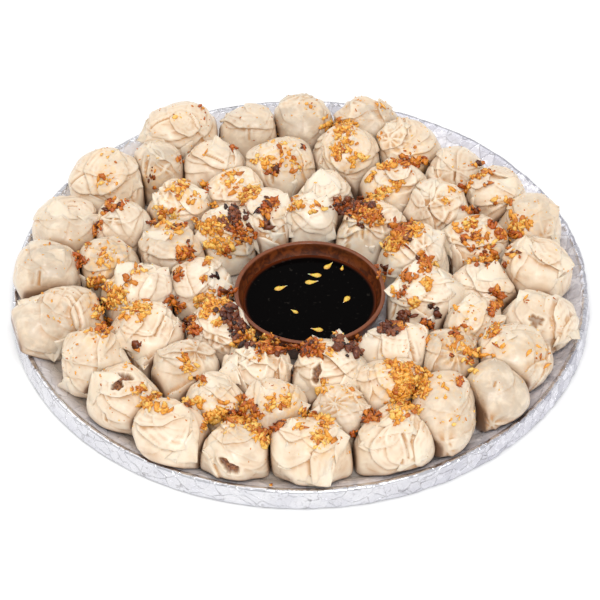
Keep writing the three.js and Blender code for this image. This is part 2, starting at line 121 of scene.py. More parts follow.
# %% The outer ring
OUTER = [
    shumai((-75, 124), (47, 40, 35), turn=20, grey=0.3,
           folds=[(4, 0, 90, 24, 1.8), (15, -3, 45, 40, 1.2), (-9, -2, 90, 70, 1.2)],
           creases=[(-10, 9, 30, 7, 1)],
           tabs=[(-18, 3, 190, 12, 3)],
           toppings=[(15, 16, 4, 5, "b"), (-1, 11, 5, 4, "g")]),
    shumai((-31, 127), (37, 34, 32), grey=0.6,
           folds=[(-5, 4, 80, 75, 2.2)],
           creases=[(-1, 1, 90, 4, 0.8)],
           tabs=[(-15, 16, 150, 9, 2)]),
    shumai((1, 133), (37, 37, 35), grey=0.9,
           folds=[(12, 5, 180, 60, 0.9)],
           gathers=[(-1, 18, 6, 0.5, 50)],
           toppings=[(6, 12, 5, 5, "g")]),
    shumai((40, 128), (42, 37, 36), turn=170, grey=0.8,
           folds=[(8, 14, 0, 40, 2.2), (-9, 7, 100, 50, 1)],
           gathers=[(-8, 17, 5, 0.7, 60)],
           toppings=[(-12, 5, 6, 10, "g"), (10, 15, 5, 5, "g")]),
    shumai((66, 107), (42, 38, 36), turn=150, grey=0.3,
           folds=[(-1, 13, 180, 32, 2.4), (13, 2, 120, 60, 1.2)],
           gathers=[(-10, 7, 7, 0.8, 36)],
           creases=[(-2, 15, 100, 6, 2.5)],
           toppings=[(-18, 9, 3, 6, "g"), (0, -5, 9, 26, "b")]),
    shumai((94, 82), (36, 38, 34), turn=120, grey=0.4,
           folds=[(1, 9, 0, 60, 2)],
           gathers=[(-9, 0, 5, 1, 50)],
           creases=[(0, 2, 90, 2, 2)],
           toppings=[(-3, -6, 4, 4, "g")]),
    shumai((119, 63), (42, 36, 35), turn=120, grey=0.3,
           folds=[(3, 13, 90, 18, 2.5), (0, -2, 110, 70, 1.6), (-14, 6, 90, 20, 1.5)],
           creases=[(0, -2, 25, 5, 1.5)],
           toppings=[(-14, 21, 4, 4, "g"), (-6, 17, 3, 5, "g"), (-20, 6, 4, 8, "b"), (1, 0, 5, 6, "g")]),
    shumai((137, 37), (40, 38, 35), turn=90, grey=0.6,
           folds=[(-12, 17, 330, 75, 1)],
           gathers=[(9, -4, 6, 0.6, 45)],
           toppings=[(-6, 2, 7, 26, "g"), (-15, 17, 4, 5, "g")]),
    shumai((138, -1), (42, 40, 36), turn=90, grey=0.2,
           folds=[(5, 5, 60, 55, 2.4), (-12, -5, 150, 60, 1)],
           gathers=[(-5, 17, 9, 0.8, 75)],
           toppings=[(-14, 8, 5, 10, "g"), (-18, 19, 4, 6, "g")]),
    shumai((135, -44), (44, 38, 32), turn=20, grey=0.4,
           folds=[(10, 10, 340, 38, 3), (16, 2, 330, 28, 2)],
           holes=[(0, 2, 5, 4, 340, 0.55)],
           tabs=[(20, 0, 340, 9, 3)],
           toppings=[(-6, 13, 3, 4, "g")]),
    shumai((120, -75), (44, 38, 37), turn=40, grey=0.6,
           folds=[(-7, 14, 300, 70, 1.2), (10, -2, 300, 38, 1.6), (20, 4, 0, 40, 1.5)],
           creases=[(18, -4, 90, 2, 1.5)],
           toppings=[(-13, 15, 5, 18, "g"), (-7, 8, 6, 6, "g"), (15, 5, 8, 8, "g")]),
    shumai((108, -101), (38, 38, 32), grey=0.9,
           folds=[(-8, -4, 200, 65, 0.8)],
           gathers=[(0, -16, 6, 0.9, 35)],
           creases=[(0, 6, 80, 1, 1.2)],
           toppings=[(-11, 11, 6, 5, "g")]),
    shumai((79, -116), (54, 37, 36), turn=90, grey=0.6,
           folds=[(-2, -16, 280, 60, 1.3), (14, 15, 200, 80, 0.9)],
           gathers=[(3, -20, 5, 0.8, 35)],
           toppings=[(1, 15, 7, 10, "g"), (-11, 11, 4, 14, "g"), (4, -4, 4, 4, "g")]),
    shumai((51, -138), (43, 37, 34), grey=0.3,
           folds=[(-11, -3, 0, 50, 2), (11, 1, 0, 45, 1.6)],
           gathers=[(-1, 16, 7, 0.8, 45)],
           creases=[(7, -2, 110, 7, 1.8), (5, -10, 90, 1, 1.5)],
           toppings=[(1, 17, 7, 40, "g"), (-9, 12, 3, 8, "b")]),
    shumai((5, -145), (44, 39, 35), grey=0.2,
           folds=[(1, -6, 350, 62, 2.2), (-10, -9, 90, 52, 1.2)],
           creases=[(11, -11, 95, 4, 1), (2, -1, 20, 1, 1.2)],
           tabs=[(10, -16, 290, 15, 2.5)],
           toppings=[(7, 6, 6, 24, "g"), (-5, 14, 5, 8, "g"), (4, 10, 4, 10, "g")]),
    shumai((-35, -144), (36, 33, 30), grey=0.5,
           folds=[(0, 5, 90, 50, 1), (-12, -8, 200, 45, 1.6)],
           gathers=[(0, 14, 8, 0.4, 60)],
           holes=[(-4, -8, 6.5, 2.8, 320, 1)],
           tabs=[(-16, -13, 200, 15, 2)],
           toppings=[(-1, 14, 8, 12, "g"), (14, 11, 4, 22, "g")]),
    shumai((-71, -131), (40, 40, 32), grey=0.2,
           folds=[(-6, -5, 60, 80, 3), (-6, 4, 90, 45, 1.5)],
           creases=[(1, 12, 310, 5, 1.5), (-9, 12, 310, 2, 2)],
           tabs=[(-12, -17, 270, 10, 2)],
           toppings=[(-2, 15, 5, 12, "g"), (-13, 17, 4, 26, "g"), (10, 16, 3, 6, "b")]),
    shumai((-99, -104), (43, 37, 30), turn=120, grey=0.3,
           folds=[(0, 2, 90, 45, 1.8), (-8, 17, 120, 60, 1.2)],
           creases=[(-10, -9, 70, 2, 1.5)],
           holes=[(1, 12, 6, 3.6, 0, 1), (-2, 8, 5, 3.2, 90, 1)],
           tabs=[(-8, -18, 240, 14, 2)],
           toppings=[(9, 4, 5, 14, "g"), (4, 19, 4, 6, "g")]),
    shumai((-116, -78), (44, 37, 36), turn=110, grey=0.4,
           folds=[(2, -1, 0, 62, 2), (-6, -16, 60, 70, 1.3)],
           gathers=[(-1, 18, 5, 0.8, 50)],
           tabs=[(-12, -16, 215, 15, 3)],
           toppings=[(3, 16, 7, 16, "g")]),
    shumai((-143, -42), (62, 38, 31), turn=30, grey=0.7,
           folds=[(1, -17, 90, 58, 1.4), (16, 10, 350, 34, 2.6)],
           creases=[(7, 21, 90, 2, 1), (14, 6, 90, 11, 2)],
           tabs=[(1, -23, 280, 14, 2)],
           toppings=[(32, 9, 5, 26, "b")]),
    shumai((-148, -4), (44, 40, 35), turn=90, grey=0.8,
           folds=[(7, -9, 250, 70, 0.8)],
           creases=[(-5, -2, 80, 4, 1.8)],
           toppings=[(19, 8, 4, 14, "b"), (3, 18, 2, 1, "b")]),
    shumai((-140, 38), (42, 40, 32), turn=90, grey=0.6,
           folds=[(16, 7, 180, 70, 0.8)],
           creases=[(5, 13, 340, 2, 1.5)],
           toppings=[(7, -7, 2, 2, "g")]),
    shumai((-117, 80), (46, 42, 33), turn=30, grey=0.4,
           folds=[(-11, 11, 330, 52, 2.4), (-5, -6, 90, 65, 1.4)],
           creases=[(-18, 4, 20, 5, 1.2), (15, -7, 80, 2, 2)],
           toppings=[(-1, 3, 7, 22, "g"), (2, 17, 7, 6, "g")]),
    shumai((-87, 91), (34, 34, 33), grey=0.9,
           folds=[(1, 9, 45, 60, 1.5)],
           gathers=[(4, 1, 4, 1, 50)],
           creases=[(-7, 4, 80, 5, 2)],
           toppings=[(-5, -4, 6, 14, "b"), (12, 6, 2, 5, "b")]),
]
print(len(OUTER), "dumplings in the outer ring")

# %% [markdown]
# ## The middle ring
#
# Twenty-one dumplings are pushed into the gaps of the outer ring, smaller and packed on all sides. Most
# of the golden garlic lies here, so these rows have the largest patches.

# %% The middle ring
MIDDLE = [
    shumai((-53, 92), (40, 36, 32), grey=0.3,
           folds=[(-7, 7, 60, 60, 1.6), (13, 9, 0, 50, 1.2)],
           creases=[(1, 7, 330, 5, 1.2)],
           toppings=[(12, 13, 3, 8, "b"), (-5, 12, 5, 4, "g")]),
    shumai((-12, 90), (45, 40, 36), grey=0.5,
           folds=[(13, 3, 20, 60, 1.6), (-11, 0, 200, 70, 0.8)],
           creases=[(-5, -5, 90, 2, 1.8)],
           toppings=[(-8, 6, 6, 24, "g"), (1, 12, 10, 22, "g"), (9, 3, 7, 20, "g"), (-3, -1, 3, 10, "b")]),
    shumai((28, 98), (42, 42, 38), grey=0.3,
           folds=[(-14, 7, 0, 70, 2), (2, -7, 90, 52, 1.6)],
           gathers=[(-1, -9, 4, 1, 50)],
           creases=[(-15, 1, 85, 4, 1.8)],
           toppings=[(-1, 18, 8, 60, "g"), (-5, 7, 6, 30, "g"), (4, 2, 6, 18, "g"),
                     (-10, 23, 5, 14, "g")]),
    shumai((58, 71), (41, 36, 33), grey=0.3,
           folds=[(1, 7, 90, 24, 2.2), (-6, -3, 120, 60, 1.5)],
           gathers=[(11, 3, 4, 1, 50)],
           toppings=[(-8, 0, 6, 28, "g"), (-15, -4, 5, 14, "g"), (-5, 14, 5, 14, "g"),
                     (-1, 3, 5, 14, "g")]),
    shumai((82, 50), (38, 36, 36), grey=0.2,
           folds=[(-7, 5, 200, 70, 2.4), (-2, 18, 180, 60, 2), (5, -5, 60, 50, 2)],
           gathers=[(-1, 8, 5, 1.2, 70)],
           creases=[(5, -4, 60, 5, 2)],
           tabs=[(-19, 2, 190, 10, 3)],
           toppings=[(5, 8, 4, 10, "g"), (8, 14, 3, 4, "g")]),
    shumai((104, 22), (38, 37, 33), grey=0.2,
           folds=[(-1, 0, 90, 60, 2.4), (-8, -6, 200, 45, 1.5)],
           gathers=[(2, 14, 5, 0.6, 60)],
           toppings=[(-6, 12, 6, 34, "g"), (4, 6, 7, 20, "g"), (7, -7, 7, 34, "b"), (14, 8, 3, 16, "b")]),
    shumai((105, -17), (40, 34, 29), grey=0.2,
           folds=[(-6, 9, 30, 66, 1.8), (6, 2, 90, 70, 1.4)],
           tabs=[(-17, 4, 190, 10, 2)],
           toppings=[(9, 1, 4, 16, "b"), (8, -7, 3, 12, "b")]),
    shumai((100, -47), (35, 34, 31), grey=0.4,
           folds=[(5, 9, 180, 60, 1.2)],
           gathers=[(-4, -4, 6, 0.7, 40)],
           toppings=[(-4, 7, 8, 14, "g"), (-9, -3, 5, 16, "g"), (9, 10, 2, 10, "b")]),
    shumai((83, -78), (38, 36, 35), grey=0.7,
           folds=[(-4, 7, 180, 45, 2.4), (13, 13, 0, 40, 1.3)],
           gathers=[(4, 6, 8, 1, 50)],
           creases=[(2, 4, 90, 1, 1.5)],
           toppings=[(4, 10, 7, 24, "g"), (13, 6, 3, 14, "b"), (-11, 13, 5, 5, "g")]),
    shumai((50, -102), (41, 38, 37), grey=0.3,
           folds=[(-10, 4, 180, 50, 1.4), (3, 12, 90, 70, 0.8)],
           creases=[(-17, -1, 60, 3, 1)],
           toppings=[(8, 5, 10, 110, "g"), (0, 14, 8, 30, "g"), (5, -4, 7, 40, "g"), (17, 1, 4, 30, "g")]),
    shumai((22, -120), (34, 34, 34), grey=0.6,
           folds=[(8, 11, 30, 60, 1.2)],
           gathers=[(-3, 8, 9, 0.8, 55)],
           creases=[(-4, 3, 20, 2, 1)],
           toppings=[(-8, 18, 4, 12, "g"), (3, 14, 7, 8, "g")]),
    shumai((-14, -117), (36, 34, 37), grey=0.4,
           folds=[(-7, 15, 200, 65, 1), (9, 8, 340, 60, 1.2)],
           toppings=[(6, 7, 7, 34, "g"), (-11, 2, 5, 26, "b"), (-2, 5, 5, 16, "g")]),
    shumai((-47, -108), (35, 34, 30), grey=0.4,
           folds=[(-5, 9, 45, 50, 1.8), (11, 1, 200, 50, 1.3)],
           gathers=[(0, 12, 5, 0.8, 45)],
           toppings=[(2, -5, 7, 40, "g"), (-9, 2, 4, 16, "g"), (13, 0, 4, 16, "g")]),
    shumai((-64, -83), (37, 36, 32), grey=0.5,
           folds=[(6, 10, 90, 50, 2.2), (-4, -9, 300, 50, 1.6)],
           gathers=[(5, 11, 7, 0.7, 40)],
           toppings=[(2, 2, 5, 16, "g"), (8, -7, 3, 8, "g")]),
    shumai((-87, -57), (44, 40, 35), turn=140,
           folds=[(7, -8, 290, 42, 2.6), (-5, 5, 150, 65, 1), (14, 5, 340, 60, 1.4)],
           creases=[(7, 7, 60, 7, 1.6)],
           toppings=[(-5, 17, 8, 60, "g"), (-11, 13, 5, 16, "g"), (-7, -4, 3, 8, "b")]),
    shumai((-93, -20), (42, 36, 33),
           folds=[(6, 10, 300, 50, 1.6), (-13, 5, 200, 50, 1.2)],
           gathers=[(-3, 15, 8, 1.3, 60)],
           toppings=[(-16, 2, 5, 34, "g"), (-1, 14, 5, 14, "g"), (-8, 8, 5, 12, "g")]),
    shumai((-113, 4), (36, 36, 32), grey=0.9,
           folds=[(-3, -1, 90, 60, 1.2)],
           gathers=[(1, 9, 6, 0.8, 60)],
           toppings=[(1, 6, 9, 40, "g"), (-8, -8, 6, 30, "b"), (-14, 5, 3, 12, "b")]),
    shumai((-106, 37), (35, 35, 32), grey=0.3,
           folds=[(-3, 15, 340, 60, 1.8), (12, 4, 180, 60, 1.2)],
           gathers=[(-5, 6, 4, 1, 50)],
           creases=[(-9, 11, 15, 5, 2.5)],
           toppings=[(-5, 15, 5, 16, "b"), (-13, 4, 4, 8, "b")]),
    shumai((-76, 16), (38, 36, 32), grey=0.7,
           folds=[(-2, -2, 80, 66, 2.6)],
           creases=[(-14, 1, 70, 3, 1.8)],
           tabs=[(-13, -3, 220, 10, 2)],
           toppings=[(-1, 16, 8, 30, "g"), (9, 1, 6, 60, "b"), (4, -3, 3, 10, "b")]),
    shumai((-72, 54), (38, 36, 32),
           folds=[(-12, 3, 0, 70, 2), (-2, 8, 45, 60, 1.3)],
           gathers=[(-6, 12, 5, 0.8, 50)],
           toppings=[(0, 14, 7, 50, "g"), (-11, 1, 5, 20, "g"), (9, 7, 6, 14, "g"), (-3, -1, 5, 16, "g")]),
    shumai((-39, 66), (37, 36, 32),
           folds=[(-1, -1, 100, 60, 2), (-8, -6, 90, 70, 1)],
           gathers=[(-7, 7, 5, 0.7, 50)],
           toppings=[(-2, 11, 8, 44, "g"), (10, 4, 5, 30, "g"), (5, -1, 4, 30, "g"),
                     (-17, 7, 3, 12, "b")]),
]
print(len(MIDDLE), "dumplings in the middle ring")

# %% [markdown]
# ## The inner ring
#
# Twelve lean towards the bowl. For their number they have the most loose corners, and these rows have
# most of the browned garlic and all patches of minced meat. All rows together make the platter, and a
# dumpling's place in that list is the key that its own chance numbers start from.

# %% The inner ring
INNER = [
    shumai((-45, 30), (36, 34, 35),
           folds=[(2, -9, 60, 60, 1.6), (12, 1, 0, 50, 1.2)],
           tabs=[(4, -15, 280, 15, 3)],
           toppings=[(7, 12, 7, 40, "m"), (-4, 5, 8, 60, "g"), (9, 3, 7, 50, "b"),
                     (-2, -4, 7, 50, "g"), (2, -9, 4, 20, "b")]),
    shumai((-20, 43), (40, 32, 35), turn=80,
           folds=[(-7, -9, 280, 34, 2.6), (10, -2, 0, 62, 1.4)],
           creases=[(1, -1, 300, 6, 2.2)],
           toppings=[(1, 9, 5, 40, "b"), (-6, 6, 2, 6, "d"), (0, -2, 4, 14, "m")]),
    shumai((5, 42), (32, 30, 34),
           folds=[(-12, 1, 180, 60, 1.2)],
           gathers=[(-4, 13, 7, 0.7, 60)],
           toppings=[(-8, 11, 5, 20, "g")]),
    shumai((16, 62), (42, 28, 32), turn=75,
           folds=[(-4, 1, 20, 70, 2.2)],
           gathers=[(-9, 14, 5, 1.4, 80)],
           creases=[(-1, -8, 290, 6, 1.5)],
           toppings=[(6, -1, 4, 18, "m"), (-5, -3, 5, 14, "g")]),
    shumai((43, 34), (40, 36, 35),
           folds=[(-6, 6, 90, 60, 2.4), (-16, -5, 180, 50, 1.2)],
           gathers=[(3, 8, 6, 1.3, 70)],
           creases=[(-6, -1, 80, 3, 1.2)],
           toppings=[(-7, 13, 11, 100, "b"), (1, 10, 6, 40, "g"), (-16, 12, 5, 24, "m")]),
    shumai((67, 12), (40, 38, 35),
           folds=[(-1, 4, 60, 70, 2)],
           gathers=[(5, 6, 5, 0.9, 60)],
           tabs=[(14, 3, 325, 15, 3), (8, 9, 40, 15, 3.5)],
           toppings=[(-6, 15, 8, 90, "b"), (-13, 6, 6, 50, "g"), (-15, 4, 4, 20, "g"),
                     (-5, 11, 3, 10, "m")]),
    shumai((71, -26), (42, 40, 36),
           folds=[(10, 0, 110, 76, 2.4), (-10, 0, 250, 60, 1.2)],
           creases=[(-16, -6, 60, 3, 1)],
           tabs=[(14, 3, 10, 20, 4)],
           toppings=[(-9, 12, 5, 40, "b"), (3, 10, 3, 16, "g"), (-16, 4, 3, 8, "g"),
                     (-5, -1, 4, 16, "g"), (1, 22, 7, 40, "b"), (-24, 16, 5, 36, "b"),
                     (-10, -9, 5, 20, "m")]),
    shumai((55, -73), (46, 36, 37),
           folds=[(5, 7, 180, 75, 2), (-10, 6, 340, 60, 1.3), (15, 12, 30, 50, 1.4)],
           creases=[(8, 3, 290, 5, 1.8)],
           toppings=[(-5, 16, 5, 26, "m"), (1, 19, 3, 16, "b"), (18, 19, 3, 14, "m")]),
    shumai((15, -90), (40, 38, 39),
           folds=[(3, 8, 45, 75, 2.6)],
           holes=[(-6, 2, 2.2, 5.6, 345, 0.9)],
           tabs=[(11, 16, 65, 16, 8), (-2, 21, 120, 7, 3), (15, 6, 345, 21, 4)],
           toppings=[(-8, 16, 6, 60, "b"), (6, 18, 3, 14, "m"), (2, 14, 4, 10, "g"),
                     (15, 15, 5, 34, "m"), (-3, 22, 3, 10, "g")]),
    shumai((-24, -88), (42, 34, 34),
           folds=[(-4, 9, 60, 60, 1.8), (11, 6, 0, 50, 2.2), (-10, 4, 200, 50, 1.4)],
           gathers=[(2, 14, 7, 1.6, 80)],
           toppings=[(6, 18, 7, 70, "b"), (-4, 24, 5, 30, "g"), (-11, 22, 3, 18, "b"),
                     (2, 11, 4, 8, "g")]),
    shumai((-46, -56), (38, 37, 36),
           folds=[(-8, 0, 60, 60, 1.8)],
           gathers=[(1, -5, 4, 1, 50)],
           creases=[(-4, -2, 70, 3, 1.2)],
           toppings=[(-7, 20, 7, 70, "g"), (7, 11, 7, 70, "m"), (0, 8, 3, 14, "g"),
                     (-15, 9, 3, 22, "b"), (10, 3, 5, 24, "m")]),
    shumai((-58, -14), (37, 36, 31), grey=0.2,
           folds=[(-7, 7, 200, 65, 1), (12, 1, 330, 60, 1.2)],
           toppings=[(4, 15, 3, 14, "g"), (8, 7, 2, 5, "d"), (2, 6, 2, 8, "g"), (-12, 10, 4, 20, "b"),
                     (16, -3, 5, 34, "b")]),
]

platter = []
for ring, rows in (("outer", OUTER), ("middle", MIDDLE), ("inner", INNER)):
    for number, row in enumerate(rows, 1):
        platter.append(dict(row, node=f"shumai_{ring}_{number:02d}", key=len(platter)))
print(len(platter), "dumplings,", sum(len(row["folds"]) for row in platter), "folds")

# %% [markdown]
# ## One body for every dumpling
#
# A steamed dumpling is a rounded block that its neighbours press flat where they touch. We could let
# a cloth or soft-body simulation find those contacts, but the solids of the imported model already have
# them, worked out by a formula: a rounded block, a little lumpy, held in by flat planes half-way to each
# neighbour, at the bowl and on the tray. The corners of the square wrapper widen it below, and on the side
# where nothing leans against it, it tucks in to its base. Using the same formula here keeps the fine
# surface exactly where the solids are. A soft minimum rounds the edge where a plane takes over.

# %% Measures of the body
RESTS_AT = 3.8
GAP = 0.3
FACET_GAP = 0.9
MIDDLE_SHARE = 0.47
ABOVE_SHARE = 0.53
BELOW_SHARE = 0.85
ROUNDNESS = 2.0
LUMPINESS = 0.055
FLARE = 0.18
FLARE_FROM = 0.35
FLARE_OVER = 0.9
CORNER_LEAST = 0.03
CORNER_SHARE = 0.12
CORNER_FROM = 0.2
CORNER_OVER = 0.7
CORNER_SHARPNESS = 6
FREE_RING = 123
FREE_BELOW_SHARE = 0.62
FREE_OVER = 0.75
SOFTNESS = 2.0
NEIGHBOUR_REACH = 70
OVERHANG_RADIUS = 171
SLOPE_FOOT = np.array([152.0, 4.0])
SLOPE_TOP = np.array([165.5, 11.8])
FAR = 200.0

bowl_low, bowl_high = (np.array(corner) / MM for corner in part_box("dip_bowl"))
bowl_middle = (bowl_low + bowl_high) / 2
bowl_radius = (bowl_high[0] - bowl_low[0]) / 2
print("bowl", round(2 * float(bowl_radius), 1), "mm across, middle at", np.round(bowl_middle, 1))

# %% [markdown]
# ## Chance, rounding and the body itself
#
# Nothing here may differ from run to run, so chance comes from a formula: the same key always gives the
# same number. Each body then gets its middle, its own wrapper corners and the three directions in which
# the viewer sees it. With the planes that hold it, its reach in any direction is one formula.

# %% The held-in body
def seeded(key):
    """A number from 0 to 1 that is always the same for the same key."""
    value = np.sin(np.asarray(key, float) * 12.9898) * 43758.5453
    return value - np.floor(value)


def unit(vectors):
    vectors = np.asarray(vectors, float)
    return vectors / np.linalg.norm(vectors, axis=-1, keepdims=True)


def smooth_step(value):
    share = np.clip(value, 0, 1)
    return share * share * (3 - 2 * share)


def angle_from(directions, spot):
    return np.arccos(np.clip(directions @ spot, -1, 1))


def soft_min(a, b):
    blend = np.clip(0.5 + 0.5 * (b - a) / SOFTNESS, 0, 1)
    return b * (1 - blend) + a * blend - SOFTNESS * blend * (1 - blend)


def settle(dumpling):
    width, length, height = dumpling["size"]
    dumpling["middle"] = np.array([*dumpling["at"], RESTS_AT + MIDDLE_SHARE * height])
    dumpling["radius"] = (width + length) / 4
    dumpling["outward"] = unit([*dumpling["at"], 0])
    dumpling["corner_share"] = CORNER_LEAST + CORNER_SHARE * float(seeded(3 * dumpling["key"] + 0.5))
    corner_draw = float(seeded(5 * dumpling["key"] + 0.5))
    dumpling["corner_turn"] = math.radians(dumpling["turn"]) + math.pi * corner_draw
    toward = unit(eye / MM - dumpling["middle"])
    across = unit(np.cross((0, 0, 1), toward))
    dumpling.update(toward=toward, across=across, upward=np.cross(toward, across))


def holding_planes(dumpling):
    """The planes that hold a dumpling in, each as its outward normal and its distance from the middle."""
    middle, radius = dumpling["middle"], dumpling["radius"]
    planes = [(np.array([0, 0, -1.0]), middle[2] - RESTS_AT)]
    for other in platter:
        apart = other["middle"] - middle
        span = np.linalg.norm(apart)
        if other is not dumpling and span <= NEIGHBOUR_REACH:
            share = (span**2 + radius**2 - other["radius"]**2) / (2 * span)
            planes.append((apart / span, share - GAP / 2))
    to_bowl = (bowl_middle - middle) * (1, 1, 0)
    planes.append((unit(to_bowl), np.linalg.norm(to_bowl) - bowl_radius - GAP))
    outward = dumpling["outward"]
    rise_angle = math.atan2(*(SLOPE_TOP - SLOPE_FOOT)[::-1])
    slope = outward * math.sin(rise_angle) - np.array([0, 0, math.cos(rise_angle)])
    on_slope = outward * SLOPE_FOOT[0] + np.array([0, 0, SLOPE_FOOT[1]])
    planes.append((slope, (on_slope - middle) @ slope - FACET_GAP))
    planes.append((outward, OVERHANG_RADIUS - np.linalg.norm(middle[:2])))
    return planes


def free_side(dumpling, directions):
    """1 where nothing leans against a dumpling and 0 towards its neighbours."""
    flat = np.maximum(np.hypot(directions[:, 0], directions[:, 1]), 1e-6)
    is_free = math.hypot(*dumpling["at"]) > FREE_RING
    return is_free * smooth_step(directions @ dumpling["outward"] / flat / FREE_OVER)


def skirt_width(dumpling, directions, free):
    """How much wider a dumpling is below than a plain block: its flare, and its wrapper's corners."""
    x, y, z = directions.T
    flare = FLARE * (1 - free) * smooth_step((FLARE_FROM - z) / FLARE_OVER)
    lobe = np.abs(np.cos(2 * (np.arctan2(y, x) - dumpling["corner_turn"])))**CORNER_SHARPNESS
    return 1 + flare + dumpling["corner_share"] * lobe * smooth_step((CORNER_FROM - z) / CORNER_OVER)


def reach(dumpling, directions, rise=0.0):
    """How far the body reaches from its middle in each direction, in millimetres."""
    width, length, height = dumpling["size"]
    x, y, z = directions.T
    turn = math.radians(dumpling["turn"])
    free = free_side(dumpling, directions)
    skirt = skirt_width(dumpling, directions, free)
    below = BELOW_SHARE + (FREE_BELOW_SHARE - BELOW_SHARE) * free
    along_width = np.abs(x * math.cos(turn) + y * math.sin(turn)) / (width / 2 * skirt)
    along_length = np.abs(y * math.cos(turn) - x * math.sin(turn)) / (length / 2 * skirt)
    up_down = np.abs(z) / (height * np.where(z > 0, ABOVE_SHARE, below))
    block = along_width**ROUNDNESS + along_length**ROUNDNESS + up_down**ROUNDNESS
    key = dumpling["key"]
    broad = np.sin(3.1 * x + key) * np.sin(2.7 * y + 2 * key)
    fine = 0.6 * np.sin(4.3 * z + 3.3 * key + 2 * x)
    distance = block**(-1 / ROUNDNESS) * (1 + LUMPINESS * (broad + fine)) + rise
    for normal, limit in dumpling["planes"]:
        facing = directions @ normal
        held = np.where(facing > 1e-3, np.minimum(limit / np.maximum(facing, 1e-3), FAR), FAR)
        distance = np.where(facing > 1e-3, soft_min(distance, held), distance)
    return distance


for dumpling in platter:
    settle(dumpling)
for dumpling in platter:
    dumpling["planes"] = holding_planes(dumpling)
print("planes round the first dumpling:", len(platter[0]["planes"]))

# %% [markdown]
# ## From what the viewer sees to the place on the body
#
# The rows say "12 right and 4 up". To find that spot on the curved body we start with the direction
# towards the viewer and correct it a few times: the depth that is left after going right and up is what
# the body's reach allows. A spot beyond the outline ends on the outline.

# %% Finding a spot
AIM_STEPS = 6
GRAZING = 0.2


def spot_at(dumpling, right, up):
    """Directions from the middle to the spots that are seen right and up of it."""
    right, up = np.atleast_1d(right).astype(float), np.atleast_1d(up).astype(float)
    directions = np.repeat(dumpling["toward"][None], len(right), 0)
    for _ in range(AIM_STEPS):
        distance = reach(dumpling, directions)
        depth = np.sqrt(np.maximum(distance**2 - right**2 - up**2, (GRAZING * distance)**2))
        directions = unit(right[:, None] * dumpling["across"] + up[:, None] * dumpling["upward"]
                          + depth[:, None] * dumpling["toward"])
    return directions


def seen_direction(dumpling, spot, degrees):
    """The direction along the surface at a spot that the viewer sees at that angle, 0 right and 90 up."""
    angle = math.radians(degrees)
    flat = dumpling["across"] * math.cos(angle) + dumpling["upward"] * math.sin(angle)
    return unit(flat - (flat @ spot) * spot)


print("12 right and 4 up on the first dumpling:", np.round(spot_at(platter[0], 12, 4)[0], 2))

# %% [markdown]
# ## Folds
#
# The wrapper is a thin disc of dough, so where it overlaps itself it ends in a free edge that stands
# off what lies under it and throws a thin shadow. A bump texture can't throw that shadow, so the edge is
# real relief: a cap of the body is lifted towards its rim, the rim is pushed a little over the edge, and
# the dough just outside it is tucked under. Ripples follow the edge, because the sheet was bent there.
# The rows give the folds that stand out. Smaller ones at seeded places fill in between and on the sides
# that the rows don't see, and they fade where the filling pulls the wrapper smooth.

# %% Folds
STEP_HALF = 1.1
INWARD_FADE = 25
GROOVE = 0.25
GROOVE_AT = 5
ALONG_FADE = 55
EDGE_WAVE = 3.5
OVERHANG = 0.6
TUCK = 0.4
RIPPLE = 0.08
RIPPLE_WIDTH = 9
SMALL_FOLDS = 6


def fold_cap(dumpling, fold):
    right, up, side, bend, lift = fold
    spot = spot_at(dumpling, right, up)[0]
    flap = seen_direction(dumpling, spot, side)
    centre = spot * math.cos(math.radians(bend)) + flap * math.sin(math.radians(bend))
    return dict(spot=spot, centre=centre, bend=bend, lift=lift)


def small_folds(dumpling):
    """Smaller folds all round at seeded places, stronger on the side away from the viewer."""
    caps = []
    for number in range(SMALL_FOLDS):
        draw = seeded(dumpling["key"] * 31 + number * 7 + np.arange(1, 7) * 0.37)
        turn = 2 * math.pi * (number + draw[0]) / SMALL_FOLDS
        spot = unit([math.cos(turn), math.sin(turn), 0.1 + 1.3 * draw[1]])
        bend = 35 + 40 * draw[2]
        flap = unit(np.array([0, 0, 1]) - spot * spot[2])
        side = math.radians(100 * draw[3] - 50)
        flap = flap * math.cos(side) + np.cross(spot, flap) * math.sin(side)
        centre = spot * math.cos(math.radians(bend)) + flap * math.sin(math.radians(bend))
        hidden = spot @ dumpling["toward"] < 0.2
        loose = 1 if hidden else 1.1 - dumpling["grey"]
        lift = loose * ((1.1 if hidden else 0.5) + 0.7 * draw[4])
        caps.append(dict(spot=spot, centre=centre, bend=bend, lift=lift))
    return caps


def round_and_away(directions, centre, start):
    """Angle round a centre, from the start, in radians, and angle away from it in degrees."""
    first = unit(start - (start @ centre) * centre)
    second = np.cross(centre, first)
    away = np.degrees(angle_from(directions, centre))
    return np.arctan2(directions @ second, directions @ first), away


def inside_fold(cap, directions, key):
    """Degrees from each direction to the fold's wavy edge, positive on the flap."""
    turn, away = round_and_away(directions, cap["centre"], cap["spot"])
    wave = np.sin(2 * turn + key) + 0.4 * np.sin(6 * turn + 2 * key) - math.sin(key) - 0.4 * math.sin(2 * key)
    return cap["bend"] + EDGE_WAVE * wave * min(cap["bend"] / 40, 1) - away, turn


def away_from_centre(cap, directions):
    """The way along the surface at every direction that leads straight from the middle of a flap."""
    cosine = np.clip(directions @ cap["centre"], -0.9999, 0.9999)[:, None]
    return (directions * cosine - cap["centre"]) / np.sqrt(1 - cosine**2)


